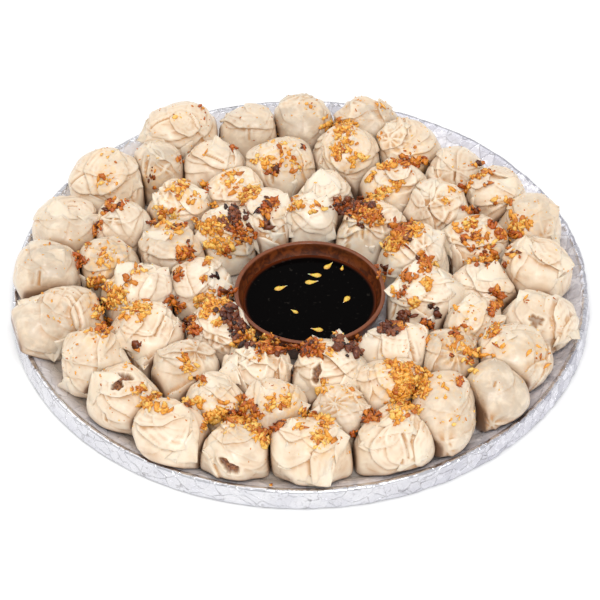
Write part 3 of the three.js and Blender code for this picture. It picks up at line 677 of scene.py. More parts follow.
def fold_relief(cap, directions, key):
    inside, turn = inside_fold(cap, directions, key)
    step = smooth_step((inside + STEP_HALF) / (2 * STEP_HALF))
    on_flap, off_flap = np.maximum(inside, 0), np.maximum(-inside, 0)
    raised = step * np.exp(-on_flap / INWARD_FADE)
    groove = GROOVE * np.exp(-((inside + GROOVE_AT) / GROOVE_AT)**2) * (1 - step)
    ripple = np.cos(2 * math.pi * inside / RIPPLE_WIDTH + 2 * np.sin(2 * turn))
    ripple = RIPPLE * step * ripple * np.exp(-on_flap / 20)
    along = np.degrees(angle_from(directions, cap["spot"])) / ALONG_FADE
    strength = cap["lift"] * np.exp(-along**2)
    push = OVERHANG * step * np.exp(-on_flap / 7) - TUCK * (1 - step) * np.exp(-off_flap / 6)
    slide = (strength * push)[:, None] * away_from_centre(cap, directions)
    return strength * (raised - groove + ripple), slide


for dumpling in platter:
    seen = [fold_cap(dumpling, fold) for fold in dumpling["folds"]]
    dumpling["caps"] = seen + small_folds(dumpling)
print(sum(len(dumpling["caps"]) for dumpling in platter), "folds, large and small")

# %% [markdown]
# ## Pleats, creases and tears
#
# Pleats fan out from where the wrapper was pinched, a crease is a narrow dent with soft lips, and a tear
# is a ragged hollow with minced meat in it. Each is a height over the body at every direction, so they
# can simply be added up. Carving them with cutting tools would give sharper walls than soft dough has.

# %% Pleats, creases and tears
CREASE_HALF = 0.8
HOLE_DEPTH = 3.0


def gather_relief(dumpling, gather, directions):
    right, up, count, depth, spread = gather
    spot = spot_at(dumpling, right, up)[0]
    turn, away = round_and_away(directions, spot, dumpling["upward"])
    phase = dumpling["key"] + 0.5 * np.sin(2 * turn + dumpling["key"]) + away / 40
    pleat = 1 - 2 * np.abs(np.sin(count * turn / 2 + phase))**0.7
    return depth * pleat * smooth_step(away / 9) * np.exp(-(away / spread)**2)


def local_offsets(dumpling, directions, right, up, degrees):
    """Millimetres along and across a line that the viewer sees at an angle through a spot."""
    spot = spot_at(dumpling, right, up)[0]
    line = seen_direction(dumpling, spot, degrees)
    offsets = (directions - spot) * dumpling["radius"]
    behind = np.where(directions @ spot < 0.3, FAR, 0)
    return offsets @ line + behind, offsets @ np.cross(spot, line)


def crease_relief(dumpling, crease, directions):
    right, up, degrees, half, depth = crease
    along, across = local_offsets(dumpling, directions, right, up, degrees)
    within = smooth_step((half - np.abs(along)) / 2 + 1)
    dent = np.exp(-(across / CREASE_HALF)**2) * within
    lips = np.exp(-((np.abs(across) - 1.9) / 0.9)**2) * within
    return depth * (0.35 * lips - dent)


def hole_relief(dumpling, hole, directions):
    right, up, half_along, half_across, degrees, openness = hole
    along, across = local_offsets(dumpling, directions, right, up, degrees)
    turn = np.arctan2(across, along)
    ragged = 0.16 * np.sin(3 * turn + dumpling["key"]) + 0.1 * np.sin(7 * turn)
    size = np.hypot(along / half_along, across / half_across) + ragged
    torn = openness * smooth_step((1.12 - size) / (0.75 - 0.5 * openness))
    lip = 0.5 * openness * np.exp(-((size - 1.3) / 0.25)**2)
    return lip - HOLE_DEPTH * torn, torn


first_torn = next(dumpling for dumpling in platter if dumpling["holes"])
first_tear = first_torn["holes"][0]
depth = hole_relief(first_torn, first_tear, spot_at(first_torn, *first_tear[:2]))[0]
print("the tear in", first_torn["node"], "goes in by", round(-float(depth[0]), 1), "mm")

# %% [markdown]
# ## Soft lumps and wrinkles
#
# Chopped filling pushes the wrapper out in soft lumps. Where the dumpling is full it stretches the dough
# smooth and thin, and elsewhere the dough falls in sharp little wrinkles that run mostly one way. Both
# come from one smooth noise, worked out on a lattice of seeded values, which is the same at every run and
# in every version of the program.

# %% Lumps, wrinkles and the finished wrapper
SWELLS = ((0.9, 13, 0.0), (0.45, 6.5, 0.3))
TAUT_ANGLE = 48
TAUT_SPREAD = 50
TAUT_WANDER = 11
TAUT_EDGE = 14
BROAD_WRINKLE = 0.52
NARROW_WRINKLE = 0.12
FILLING_LUMPS = 0.3
TORN_ROUGH = 0.5


def soft_noise(points, size, seed):
    """Smooth noise from -1 to 1 with lumps about that size, from seeded values on a lattice."""
    cells = points / size
    corner = np.floor(cells)
    share = smooth_step(cells - corner)
    total = np.zeros(len(points))
    for step in itertools.product((0, 1), repeat=3):
        value = seeded((corner + step) @ np.array([12.7, 57.3, 113.1]) / 7 + seed)
        total += value * np.prod(np.where(step, share, 1 - share), axis=1)
    return 2 * total - 1


def taut(dumpling, directions):
    """Where the filling stretches the wrapper smooth and thin, 0 to 1."""
    key = dumpling["key"]
    draw = seeded(key * 23 + np.array([0.3, 0.7]))
    right, up = (draw - 0.5) * dumpling["radius"] * (0.9, 0.7) + (0, 2)
    middle = dumpling["toward"] * dumpling["radius"]
    middle = unit(middle + dumpling["across"] * right + dumpling["upward"] * up)
    away = np.degrees(angle_from(directions, middle))
    away = away + TAUT_WANDER * soft_noise(directions * dumpling["radius"], 12, key + 0.4)
    reach_of_grey = TAUT_ANGLE + TAUT_SPREAD * max(dumpling["grey"] - 0.4, 0)
    return smooth_step((reach_of_grey - away) / TAUT_EDGE) * min(1.2 * dumpling["grey"], 1)


def wrinkles(dumpling, points, smooth):
    """Sharp little folds that run mostly one way, and the filling's lumps where the wrapper is taut."""
    key = dumpling["key"]
    draw = seeded(key * 17 + np.array([0.2, 0.5, 0.8]))
    axis = unit(draw * (2, 2, 1.4) - (1, 1, 0.2))
    warped = points + 4 * np.stack([soft_noise(points, 14, key + seed) for seed in (0.1, 0.2, 0.3)], 1)
    warped = warped - 0.74 * (warped @ axis)[:, None] * axis
    broad = 1 - np.minimum(np.abs(soft_noise(warped, 9, key + 3)) * 2.4, 1)
    narrow = 1 - np.minimum(np.abs(soft_noise(warped, 4.4, key + 5)) * 2, 1)
    patchy = smooth_step(0.5 + 0.9 * soft_noise(points, 15, key + 8))
    lumps = FILLING_LUMPS * smooth * soft_noise(points, 4.2, key + 9)
    folded = (BROAD_WRINKLE * broad**2 + NARROW_WRINKLE * narrow * patchy) * (0.4 + 0.6 * patchy)
    return folded * (1 - 0.9 * smooth) + lumps


def wrap(dumpling, directions):
    """Points of the finished wrapper in millimetres, with how far each is inside a tear."""
    key = dumpling["key"]
    points = dumpling["middle"] + directions * dumpling["radius"]
    rise = sum(height * soft_noise(points, size, key + seed) for height, size, seed in SWELLS)
    rise += wrinkles(dumpling, points, taut(dumpling, directions))
    slide, torn = np.zeros_like(directions), np.zeros(len(directions))
    for cap in dumpling["caps"]:
        height, push = fold_relief(cap, directions, key)
        rise, slide = rise + height, slide + push
    for gather in dumpling["gathers"]:
        rise += gather_relief(dumpling, gather, directions)
    for crease in dumpling["creases"]:
        rise += crease_relief(dumpling, crease, directions)
    for hole in dumpling["holes"]:
        height, opening = hole_relief(dumpling, hole, directions)
        rise, torn = rise + height, np.maximum(torn, opening)
    rise += torn * TORN_ROUGH * soft_noise(points, 1.8, key + 0.7)
    return dumpling["middle"] + directions * reach(dumpling, directions, rise)[:, None] + slide, torn


top = wrap(platter[0], np.array([[0.0, 0.0, 1.0]]))[0][0]
print("the first dumpling's top is", round(float(top[2]), 1), "mm above the table")

# %% [markdown]
# ## Meshes from arrays
#
# Blender can make a sphere for us, but its poles pinch and its rows are even. We lay six square grids
# over the body instead, like a cube blown up to a ball, and then crowd the grid towards each strong fold,
# so that the free edges get the most points. Everything is worked out in arrays and handed to Blender
# once per piece, which keeps fifty-seven dense wrappers quick to make.

# %% Grids and pieces
CELLS = 32
CROWD_WITHIN = 8.0
CROWD_POWER = 0.5
STRONG_LIFT = 1.3
CROWD_UP = 0.4


def ball_grid(cells):
    """Directions of six square grids round a ball, and the quads between them."""
    line = np.tan(np.linspace(-1, 1, cells + 1) * math.pi / 4)
    first, second = np.meshgrid(line, line, indexing="ij")
    index = np.arange((cells + 1)**2).reshape(cells + 1, cells + 1)
    square = np.stack([index[:-1, :-1], index[1:, :-1], index[1:, 1:], index[:-1, 1:]], -1).reshape(-1, 4)
    points, quads = [], []
    for axis in range(3):
        for sign in (1, -1):
            patch = np.zeros((first.size, 3))
            patch[:, axis] = sign
            patch[:, (axis + 1) % 3] = first.ravel()
            patch[:, (axis + 2) % 3] = second.ravel()
            quads.append((square if sign > 0 else square[:, ::-1]) + len(points) * first.size)
            points.append(patch)
    points = unit(np.concatenate(points))
    _, kept, same = np.unique(np.round(points, 6), axis=0, return_index=True, return_inverse=True)
    return points[kept], same.ravel()[np.concatenate(quads)]


def crowd(directions, cap, key):
    """Moves directions towards a fold's edge, so that more of the mesh lies there."""
    inside, _ = inside_fold(cap, directions, key)
    along = np.degrees(angle_from(directions, cap["spot"])) / ALONG_FADE
    power = 1 + CROWD_POWER * np.exp(-along**2)
    size = np.minimum(np.abs(inside) / CROWD_WITHIN, 1)
    wanted = np.where(size < 1, np.sign(inside) * CROWD_WITHIN * size**power, inside)
    turn = np.radians(inside - wanted)[:, None]
    return unit(directions * np.cos(turn) + away_from_centre(cap, directions) * np.sin(turn))


def add_piece(name, points, faces, finish, replaced=(), marks=None, smooth=True):
    """A mesh from points in millimetres, with named marks on its points for the finish."""
    mesh = bpy.data.meshes.new(name)
    corners = faces.shape[1]
    mesh.vertices.add(len(points))
    mesh.vertices.foreach_set("co", (np.asarray(points) * MM).astype(np.float32).ravel())
    mesh.loops.add(faces.size)
    mesh.loops.foreach_set("vertex_index", faces.astype(np.int32).ravel())
    mesh.polygons.add(len(faces))
    mesh.polygons.foreach_set("loop_start", np.arange(len(faces), dtype=np.int32) * corners)
    mesh.update(calc_edges=True)
    if smooth:
        mesh.shade_smooth()
    for mark, values in (marks or {}).items():
        mesh.attributes.new(mark, "FLOAT", "POINT").data.foreach_set("value", values.astype(np.float32))
    mesh.materials.append(finish)
    piece = bpy.data.objects.new(name, mesh)
    bpy.context.scene.collection.objects.link(piece)
    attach(piece, "root")
    if replaced:
        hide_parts(*replaced)
    return piece


ball_directions, ball_quads = ball_grid(CELLS)
ball_directions = unit(ball_directions + (0, 0, CROWD_UP))
ball_edges = np.unique(np.sort(np.concatenate([ball_quads[:, (0, 1)], ball_quads[:, (1, 2)],
                                               ball_quads[:, (2, 3)], ball_quads[:, (3, 0)]])), axis=0)
ball_degree = np.bincount(ball_edges.ravel())


def evened(values, times):
    """Values on the ball's points after averaging with their neighbours a few times."""
    first, second = ball_edges.T
    for _ in range(times):
        around = (np.bincount(first, values[second], len(values))
                  + np.bincount(second, values[first], len(values))) / ball_degree
        values = (values + around) / 2
    return values


print("each wrapper has", len(ball_directions), "points")

# %% [markdown]
# ## Building finishes from nodes
#
# Every finish is a node tree on one shader. A few small helpers keep the cells below readable: they make
# a node and fill its sockets, mix two colours, stretch or multiply values, make noise with lumps of a given
# size in millimetres, read a mark that the mesh code wrote on the points, and stack bumps. Colours are
# given as a painter mixes them, from 0 to 255, and turned into the light values that the shader wants.

# %% Finish helpers
def paint(red, green, blue):
    """A colour given from 0 to 255, as the shader's linear colour."""
    values = np.array([red, green, blue]) / 255
    linear = np.where(values <= 0.04045, values / 12.92, ((values + 0.055) / 1.055)**2.4)
    return (*linear, 1.0)


def new_finish(name, **sockets):
    finish = bpy.data.materials.new(name)
    finish.use_nodes = True
    shader = finish.node_tree.nodes["Principled BSDF"]
    for socket, value in sockets.items():
        shader.inputs[socket.replace("_", " ")].default_value = value
    return finish, shader


def node(finish, kind, sockets=None, **settings):
    """A new shader node with its settings made and its sockets filled or linked."""
    made = finish.node_tree.nodes.new("ShaderNode" + kind)
    for name, value in settings.items():
        setattr(made, name, value)
    for name, value in (sockets or {}).items():
        if isinstance(value, bpy.types.NodeSocket):
            finish.node_tree.links.new(value, made.inputs[name])
        else:
            made.inputs[name].default_value = value
    return made


def mixed(finish, share, first, second):
    made = finish.node_tree.nodes.new("ShaderNodeMix")
    made.data_type = "RGBA"
    for index, value in ((0, share), (6, first), (7, second)):
        if isinstance(value, bpy.types.NodeSocket):
            finish.node_tree.links.new(value, made.inputs[index])
        else:
            made.inputs[index].default_value = value
    return made.outputs[2]


def spread(finish, value, low, high, out_low=0.0, out_high=1.0):
    """Stretches the part of a value between low and high over a new range, smoothly."""
    return node(finish, "MapRange", {"Value": value, "From Min": low, "From Max": high, "To Min": out_low,
                                     "To Max": out_high}, interpolation_type="SMOOTHSTEP").outputs[0]


def grain(finish, size_mm, detail=3.0, roughness=0.55, distortion=0.0):
    """Noise with lumps about that many millimetres across, fixed to the piece."""
    place = node(finish, "TexCoord").outputs["Object"]
    return node(finish, "TexNoise", {"Vector": place, "Scale": 1 / (size_mm * MM), "Detail": detail,
                                     "Roughness": roughness, "Distortion": distortion}).outputs["Fac"]


def mark(finish, name):
    return node(finish, "Attribute", attribute_name=name).outputs["Fac"]


def scaled(finish, value, factor):
    return node(finish, "Math", {0: value, 1: factor}, operation="MULTIPLY", use_clamp=True).outputs[0]


def product(finish, first, second):
    return node(finish, "Math", {0: first, 1: second}, operation="MULTIPLY").outputs[0]


def link(finish, value, shader, socket):
    finish.node_tree.links.new(value, shader.inputs[socket])


def bumped(finish, shader, layers):
    """Stacks bumps of the given heights in millimetres on the shader."""
    normal = None
    for height, millimetres, strength in layers:
        sockets = {"Height": height, "Distance": millimetres * MM, "Strength": strength}
        if normal is not None:
            sockets["Normal"] = normal
        normal = node(finish, "Bump", sockets).outputs["Normal"]
    link(finish, normal, shader, "Normal")


print("a warm white of 250, 240, 220 is", np.round(paint(250, 240, 220), 3))

# %% [markdown]
# ## Steamed dough
#
# A steamed wrapper is pale cream and a little see-through: light goes in a few millimetres, so shadows
# are warm and soft. Where the sheet is thin the pork inside greys it, and oil from the garlic leaves
# yellow stains. Hollows and folds get a painted brown shade, and the clefts between dumplings a deeper
# painted shade that is darkest low down; towards the bowl the wrappers are whitest. We mix those as
# layers over the cream, driven by marks on the points, use subsurface scattering for the glow and a
# weak coat for the wet glints. A pure colour texture would look like plaster.

# %% Dough finish
PALEST_WITHIN = (0.06, 0.15)


def make_dough():
    finish, shader = new_finish("steamed_dough", Roughness=0.45, IOR=1.42, Subsurface_Weight=0.2,
                                Subsurface_Scale=0.0015, Coat_Weight=0.35, Coat_Roughness=0.2)
    shader.inputs["Subsurface Radius"].default_value = (1.0, 0.75, 0.5)
    patches = grain(finish, 14, distortion=0.4)
    colour = mixed(finish, spread(finish, patches, 0.35, 0.68), paint(239, 223, 200), paint(233, 210, 182))
    place = node(finish, "TexCoord").outputs["Object"]
    from_middle = node(finish, "VectorMath", {0: place}, operation="LENGTH").outputs["Value"]
    colour = mixed(finish, spread(finish, from_middle, *PALEST_WITHIN, 0.6, 0), colour, paint(247, 235, 216))
    thin = spread(finish, grain(finish, 7, distortion=0.6), 0.3, 0.62, 0.4, 1.0)
    grey = product(finish, mark(finish, "grey"), thin)
    colour = mixed(finish, grey, colour, paint(199, 182, 161))
    # Painted shade: brown in hollows and folds, and deeper and darker in the clefts between dumplings, most
    # low down.
    colour = mixed(finish, scaled(finish, mark(finish, "painted_hollow_shade"), 0.85), colour, paint(190, 134, 72))
    cleft = mark(finish, "cleft")
    colour = mixed(finish, scaled(finish, cleft, 0.65), colour, paint(158, 104, 54))
    colour = mixed(finish, spread(finish, cleft, 0.6, 1.0, 0, 0.7), colour, paint(78, 44, 24))
    stain = spread(finish, grain(finish, 3, detail=4), 0.42, 0.62)
    oily = product(finish, mark(finish, "oil"), stain)
    colour = mixed(finish, oily, colour, paint(238, 192, 122))
    lumps = spread(finish, grain(finish, 1.6), 0.35, 0.65)
    meat = mixed(finish, lumps, paint(96, 50, 26), paint(174, 116, 74))
    # The dark brown at the edge of a tear is painted shade; further in lies the minced meat.
    inside = mixed(finish, spread(finish, mark(finish, "torn"), 0.6, 1.0), paint(84, 42, 22), meat)
    colour = mixed(finish, mark(finish, "torn"), colour, inside)
    link(finish, colour, shader, "Base Color")
    moist = grain(finish, 9)
    link(finish, spread(finish, moist, 0.3, 0.7, 0.24, 0.46), shader, "Roughness")
    bumped(finish, shader, [(grain(finish, 4.5, distortion=1.2), 0.35, 0.3), (grain(finish, 0.9), 0.06, 0.4)])
    return finish


dough = make_dough()
print("steamed dough:", len(dough.node_tree.nodes), "nodes")

# %% [markdown]
# ## Loose corners
#
# The wrapper is cut square or round and never lies down everywhere, so corners of it stand off. A free
# corner has two sides and a thickness, and the body's one surface can't fold back over itself, so a corner
# is a small curved sheet of its own. It starts inside the body, lifts away towards its tip and is kept
# above the foil. The rows name the large ones, and a few more stand at seeded places, fewer where the
# dumpling is full.

# %% Loose corners
TAB_CELLS = (8, 6)
TAB_THICKNESS = 0.8
TAB_WIDTH = 0.8
TAB_ROOT_DEPTH = 1.2
TRAY_PROFILE = ((SLOPE_FOOT[0], SLOPE_TOP[0], 167.0), (SLOPE_FOOT[1], SLOPE_TOP[1], 13.0))
FOIL_CLEARANCE = 0.2
LOOSE_CORNERS = 4


def tab_sheet(dumpling, tab):
    """A loose corner as a thin closed sheet: points in millimetres and quads."""
    right, up, degrees, size, lift = tab
    spot = spot_at(dumpling, right, up)[0]
    line = seen_direction(dumpling, spot, degrees)
    side = np.cross(spot, line)
    root = wrap(dumpling, spot[None])[0][0]
    rows, columns = TAB_CELLS
    along, across = np.meshgrid(np.linspace(0, 1, rows + 1), np.linspace(-1, 1, columns + 1), indexing="ij")
    width = TAB_WIDTH * size * (1 - along**1.15)**0.9 * (1 + 0.12 * np.sin(9 * along + dumpling["key"]))
    height = (lift + TAB_ROOT_DEPTH) * along**1.5 - TAB_ROOT_DEPTH
    height = height - 0.45 * (along * size)**2 / dumpling["radius"]
    height = height - 0.4 * (across * width)**2 / dumpling["radius"] + 0.5 * np.sin(5 * across + 4 * along)
    top = (root + (along * size)[..., None] * line + (across * width)[..., None] * side
           + height[..., None] * spot)
    lowest = np.interp(np.hypot(top[..., 0], top[..., 1]), *TRAY_PROFILE) + TAB_THICKNESS + FOIL_CLEARANCE
    top[..., 2] = np.maximum(top[..., 2], lowest)
    bottom = top - spot * TAB_THICKNESS
    points = np.concatenate([top.reshape(-1, 3), bottom.reshape(-1, 3)])
    index = np.arange((rows + 1) * (columns + 1)).reshape(rows + 1, columns + 1)
    upper = np.stack([index[:-1, :-1], index[1:, :-1], index[1:, 1:], index[:-1, 1:]], -1).reshape(-1, 4)
    rim = np.concatenate([index[:, 0], index[-1, 1:], index[-2::-1, -1], index[0, -2:0:-1]])
    wall = np.stack([rim, np.roll(rim, -1), np.roll(rim, -1) + index.size, rim + index.size], -1)
    return points, np.concatenate([upper, upper[:, ::-1] + index.size, wall[:, ::-1]])


def loose_corners(dumpling):
    """Corners of the wrapper that stand off its sides at seeded places, as rows for tab_sheet."""
    draws = seeded(dumpling["key"] * 31 + np.arange(LOOSE_CORNERS * 4) * 1.3).reshape(-1, 4)
    draws = draws[:round(LOOSE_CORNERS * (1.1 - dumpling["grey"]))]
    tabs = []
    for number, draw in enumerate(draws):
        turn = 2 * math.pi * (number + 0.7 * draw[0]) / len(draws) + dumpling["key"]
        away = (0.4 + 0.35 * draw[1]) * dumpling["radius"]
        tabs.append((away * math.cos(turn), 0.8 * away * math.sin(turn),
                     math.degrees(turn) + 70 * (draw[2] - 0.5), 10 + 7 * draw[3], 1.5 + 2.5 * draw[2]))
    return tabs


print(sum(len(dumpling["tabs"]) for dumpling in platter), "corners from the rows and",
      sum(len(loose_corners(dumpling)) for dumpling in platter), "at seeded places")

# %% [markdown]
# ## Wrapping the dumplings
#
# Each wrapper is the grid, crowded towards its folds and tears, pushed out to the body and its relief.
# While we still know where every point lies, we mark it for the finish: how far it lies below its
# neighbours and how deep in a cleft, both for painted shade, how oily and how grey it is, and whether
# it is torn. The corners are joined to the wrapper's mesh, so a dumpling stays one piece that stands for
# one solid.

# %% Wrappers
OIL_REACH = 1.5
HOLLOW = 0.3
HOLLOW_ROUNDS = 5
CLEFT_HALF = 3.5
CLEFT_TOP = 34.0
CLEFT_DEPTH = 14.0


def oil_marks(dumpling, directions):
    """How oily the wrapper is near its patches of garlic, 0 to 1."""
    oil = np.zeros(len(directions))
    for right, up, radius, count, kind in dumpling["toppings"]:
        if kind in "gb":
            spot = spot_at(dumpling, right, up)[0]
            away = angle_from(directions, spot) * dumpling["radius"]
            oil = np.maximum(oil, min(0.25 + count / 50, 0.9) * np.exp(-(away / (OIL_REACH * radius))**2))
    return oil


def painted_cleft_shade(dumpling, points):
    """How deep each point lies in the cleft beside a neighbour, 0 to 1, more low down, for painted shade."""
    offsets = points - dumpling["middle"]
    beside = np.full(len(points), FAR)
    for normal, limit in dumpling["planes"]:
        beside = np.minimum(beside, limit - offsets @ normal)
    low = smooth_step((CLEFT_TOP - points[:, 2]) / CLEFT_DEPTH)
    return smooth_step((CLEFT_HALF - beside) / CLEFT_HALF) * low


def make_wrapper(dumpling):
    directions = ball_directions
    strong = sorted(dumpling["caps"], key=lambda cap: cap["lift"])
    for cap in strong:
        if cap["lift"] >= STRONG_LIFT:
            directions = crowd(directions, cap, dumpling["key"])
    for right, up, half_along, half_across, _, _ in dumpling["holes"]:
        spot = spot_at(dumpling, right, up)[0]
        rim = math.degrees((half_along + half_across) / 2 / dumpling["radius"])
        beside = unit(spot + 0.01 * dumpling["upward"])
        directions = crowd(directions, dict(spot=beside, centre=spot, bend=rim), dumpling["key"])
    points, torn = wrap(dumpling, directions)
    height = np.linalg.norm(points - dumpling["middle"], axis=1)
    # Painted shade in hollows: how far a point lies below its evened neighbours.
    painted_hollow_shade = np.clip((evened(height, HOLLOW_ROUNDS) - height) / HOLLOW, 0, 1)
    oil = oil_marks(dumpling, directions)
    # Painted shade in the clefts beside the neighbours.
    cleft = painted_cleft_shade(dumpling, points)
    grey = np.maximum(0.5 * dumpling["grey"], taut(dumpling, directions))
    quads = [ball_quads]
    points = [points]
    for tab in [*dumpling["tabs"], *loose_corners(dumpling)]:
        sheet, faces = tab_sheet(dumpling, tab)
        quads.append(faces + sum(len(part) for part in points))
        points.append(sheet)
    extra = sum(len(part) for part in points) - len(directions)
    marks = {"painted_hollow_shade": painted_hollow_shade, "torn": torn, "oil": oil, "grey": grey, "cleft": cleft}
    marks = {name: np.pad(values, (0, extra)) for name, values in marks.items()}
    marks["grey"][len(directions):] = 0.5 * dumpling["grey"]
    name = dumpling["node"].replace("shumai", "wrapper")
    return add_piece(name, np.concatenate(points), np.concatenate(quads), dough,
                     (dumpling["node"],), marks)


wrappers = [make_wrapper(dumpling) for dumpling in platter]
print(len(wrappers), "wrappers,", sum(len(piece.data.polygons) for piece in wrappers), "quads")

# %% [markdown]
# ## The foil-wrapped board
#
# Kitchen foil pulled over a board stays smooth where it is taut and breaks into sharp little ridges where
# it is gathered, at the right and the back here. Foil bends in straight creases with nearly flat facets
# between them, so rounded noise would look like hammered metal. We fold the mesh itself: noise that is
# made sharp where it crosses zero gives crease lines, and three sizes of it, laid over a dense ring mesh,
# catch the light as foil does. The section is the imported solid's. Three marks go to the finish: where oil
# and steam dull the foil under a film painted pale as painted light, where it is crushed and painted
# greyer as painted reflection, and what faces inwards, painted brighter as painted light.

# %% Foil over the board
AROUND = 840
TRAY_SECTION = [(0, 0), (60, 0), (120, 0), (160, 0), (168.5, 0), (169.6, 0.5), (170, 1.5), (169.85, 3),
                (169.3, 7), (168.75, 11), (168.3, 12.1), (167.5, 12.5), (166.4, 12.3), (165.5, 11.8),
                (158.7, 7.9), (152, 4), (150, 3.6), (148, 3.5), (130, 3.5), (100, 3.5), (50, 3.5), (0, 3.5)]
RING_STEP = 1.3
CREASES = [(26, 0.55), (11, 0.4), (5, 0.2)]
CREASED_FROM = 0.2
GATHERED_MIDDLE = 12
UPPER_SIDE = 2
OILY_RIM, OILY_FADE = 164, 12
INNER_RIM, INNER_FADE = 166.5, 3
CRUSHED_MIDDLE = 20


def fine_section(section, step):
    """The same outline with points no further apart than the step."""
    fine = [section[0]]
    for start, end in zip(section, section[1:]):
        parts = max(1, math.ceil(math.dist(start, end) / step))
        fine += [tuple(np.add(start, np.subtract(end, start) * part / parts)) for part in range(1, parts + 1)]
    return np.array(fine)


def lathe(section, around):
    """Points and quads of an outline turned round the middle; the two ends on the middle stay open rings."""
    angle = np.arange(around) * 2 * math.pi / around
    points = np.stack([section[:, :1] * np.cos(angle), section[:, :1] * np.sin(angle),
                       np.repeat(section[:, 1:], around, 1)], -1)
    index = np.arange(points[..., 0].size).reshape(len(section), around)
    after = np.roll(index, -1, 1)
    quads = np.stack([index[:-1], after[:-1], after[1:], index[1:]], -1).reshape(-1, 4)
    return points.reshape(-1, 3), quads


def ring_normals(points, around):
    grid = points.reshape(-1, around, 3)
    along = np.gradient(grid, axis=0)
    round_ring = np.roll(grid, -1, 1) - np.roll(grid, 1, 1)
    normal = np.cross(round_ring, along)
    return (normal / np.maximum(np.linalg.norm(normal, axis=-1, keepdims=True), 1e-9)).reshape(-1, 3)


def crumple(points):
    """How far creased foil stands off the board, in millimetres."""
    angle = np.degrees(np.arctan2(points[:, 1], points[:, 0]))
    gathered = 0.35 + 0.65 * smooth_step(np.cos(np.radians(angle - GATHERED_MIDDLE)) + 0.55)
    bent = points + 5 * np.stack([soft_noise(points, 17, seed) for seed in (3, 4, 5)], 1)
    height = np.zeros(len(points))
    for number, (size, depth) in enumerate(CREASES):
        height += depth * (np.minimum(np.abs(soft_noise(bent, size, 20 + number)) * 3, 1) - 0.6)
    return height * gathered


section = fine_section(TRAY_SECTION[4:-4], RING_STEP)
under = [(1, 0), (60, 0), (120, 0)]
over = [(130, 3.5), (100, 3.5), (50, 3.5), (1, 3.5)]
section = np.concatenate([under, section, over])
foil_points, foil_quads = lathe(section, AROUND)
foil_normals = ring_normals(foil_points, AROUND)
raised = np.where(foil_points[:, 2] > CREASED_FROM, crumple(foil_points), 0)
foil_points = foil_points + foil_normals * raised[:, None]
foil_points[:, 2] = np.maximum(foil_points[:, 2], 0)
radius = np.hypot(foil_points[:, 0], foil_points[:, 1])
# The inner slope near the dumplings gets a film of oil that the finish paints pale, partly as painted light.
oily = smooth_step((OILY_RIM - radius) / OILY_FADE) * (foil_points[:, 2] > UPPER_SIDE)
turn = np.degrees(np.arctan2(foil_points[:, 1], foil_points[:, 0]))
# Where the foil is gathered, the finish paints it greyer and flecked, as painted reflection.
crushed = smooth_step((np.cos(np.radians(turn - CRUSHED_MIDDLE)) + 0.3) / 0.9)
oily = oily * (1 - 0.85 * crushed)
# What faces inwards is painted brighter in the finish, as painted light.
inside = smooth_step((INNER_RIM - radius) / INNER_FADE) * (foil_points[:, 2] > UPPER_SIDE)
print("foil rings", len(section), "of", AROUND, "points, creases up to", round(float(raised.max()), 2), "mm")

# %% [markdown]
# ## Foil finish
#
# Foil is bright metal, but crumpled metal mirrors a hundred small pieces of the room at once, so from a
# step away it looks pale grey with bright flecks and thin dark lines. Crumpling the mesh that finely would
# take millions of faces. Cells of two sizes tilt a bump instead, and the same cells carry a painted
# reflection in the colour: painted glints, painted dark facets and flecks, and painted shade in the lines
# between them, most where the foil is crushed, which is also painted greyer. The inner slope only has the
# dumplings to mirror and lies in their shade, so there the metal gives way to a duller base painted
# brighter, as painted light, with a beige film of steam and oil that is painted pale to lift that shade.

# %% Foil finish
def facets(finish, size_mm):
    """Height of small flat cells, each tilted its own way, the lines between them, and a painted shade for
    each cell that stands in for what it mirrors.
    """
    place = node(finish, "TexCoord").outputs["Object"]
    stirred = node(finish, "TexNoise", {"Vector": place, "Scale": 0.3 / (size_mm * MM)}).outputs["Color"]
    stirred = node(finish, "VectorMath", {0: stirred, 1: (1.2 * size_mm * MM,) * 3, 2: place},
                   operation="MULTIPLY_ADD").outputs[0]
    cell = node(finish, "TexVoronoi", {"Vector": stirred, "Scale": 1 / (size_mm * MM)})
    away = node(finish, "VectorMath", {0: stirred, 1: cell.outputs["Position"]},
                operation="SUBTRACT").outputs[0]
    tilt = node(finish, "VectorMath", {0: cell.outputs["Color"], 1: (0.5, 0.5, 0.5)},
                operation="SUBTRACT").outputs[0]
    height = node(finish, "VectorMath", {0: away, 1: tilt}, operation="DOT_PRODUCT").outputs["Value"]
    height = node(finish, "Math", {0: height, 1: 1 / (size_mm * MM), 2: 0.5}, operation="MULTIPLY_ADD")
    edge = node(finish, "TexVoronoi", {"Vector": stirred, "Scale": 1 / (size_mm * MM)},
                feature="DISTANCE_TO_EDGE").outputs["Distance"]
    cell_painted_shade = node(finish, "SeparateColor", {"Color": cell.outputs["Color"]}).outputs["Red"]
    return (height.outputs[0], spread(finish, edge, 0.01, 0.05, 1.0, 0.0),
            spread(finish, cell_painted_shade, 0.4, 1.0))


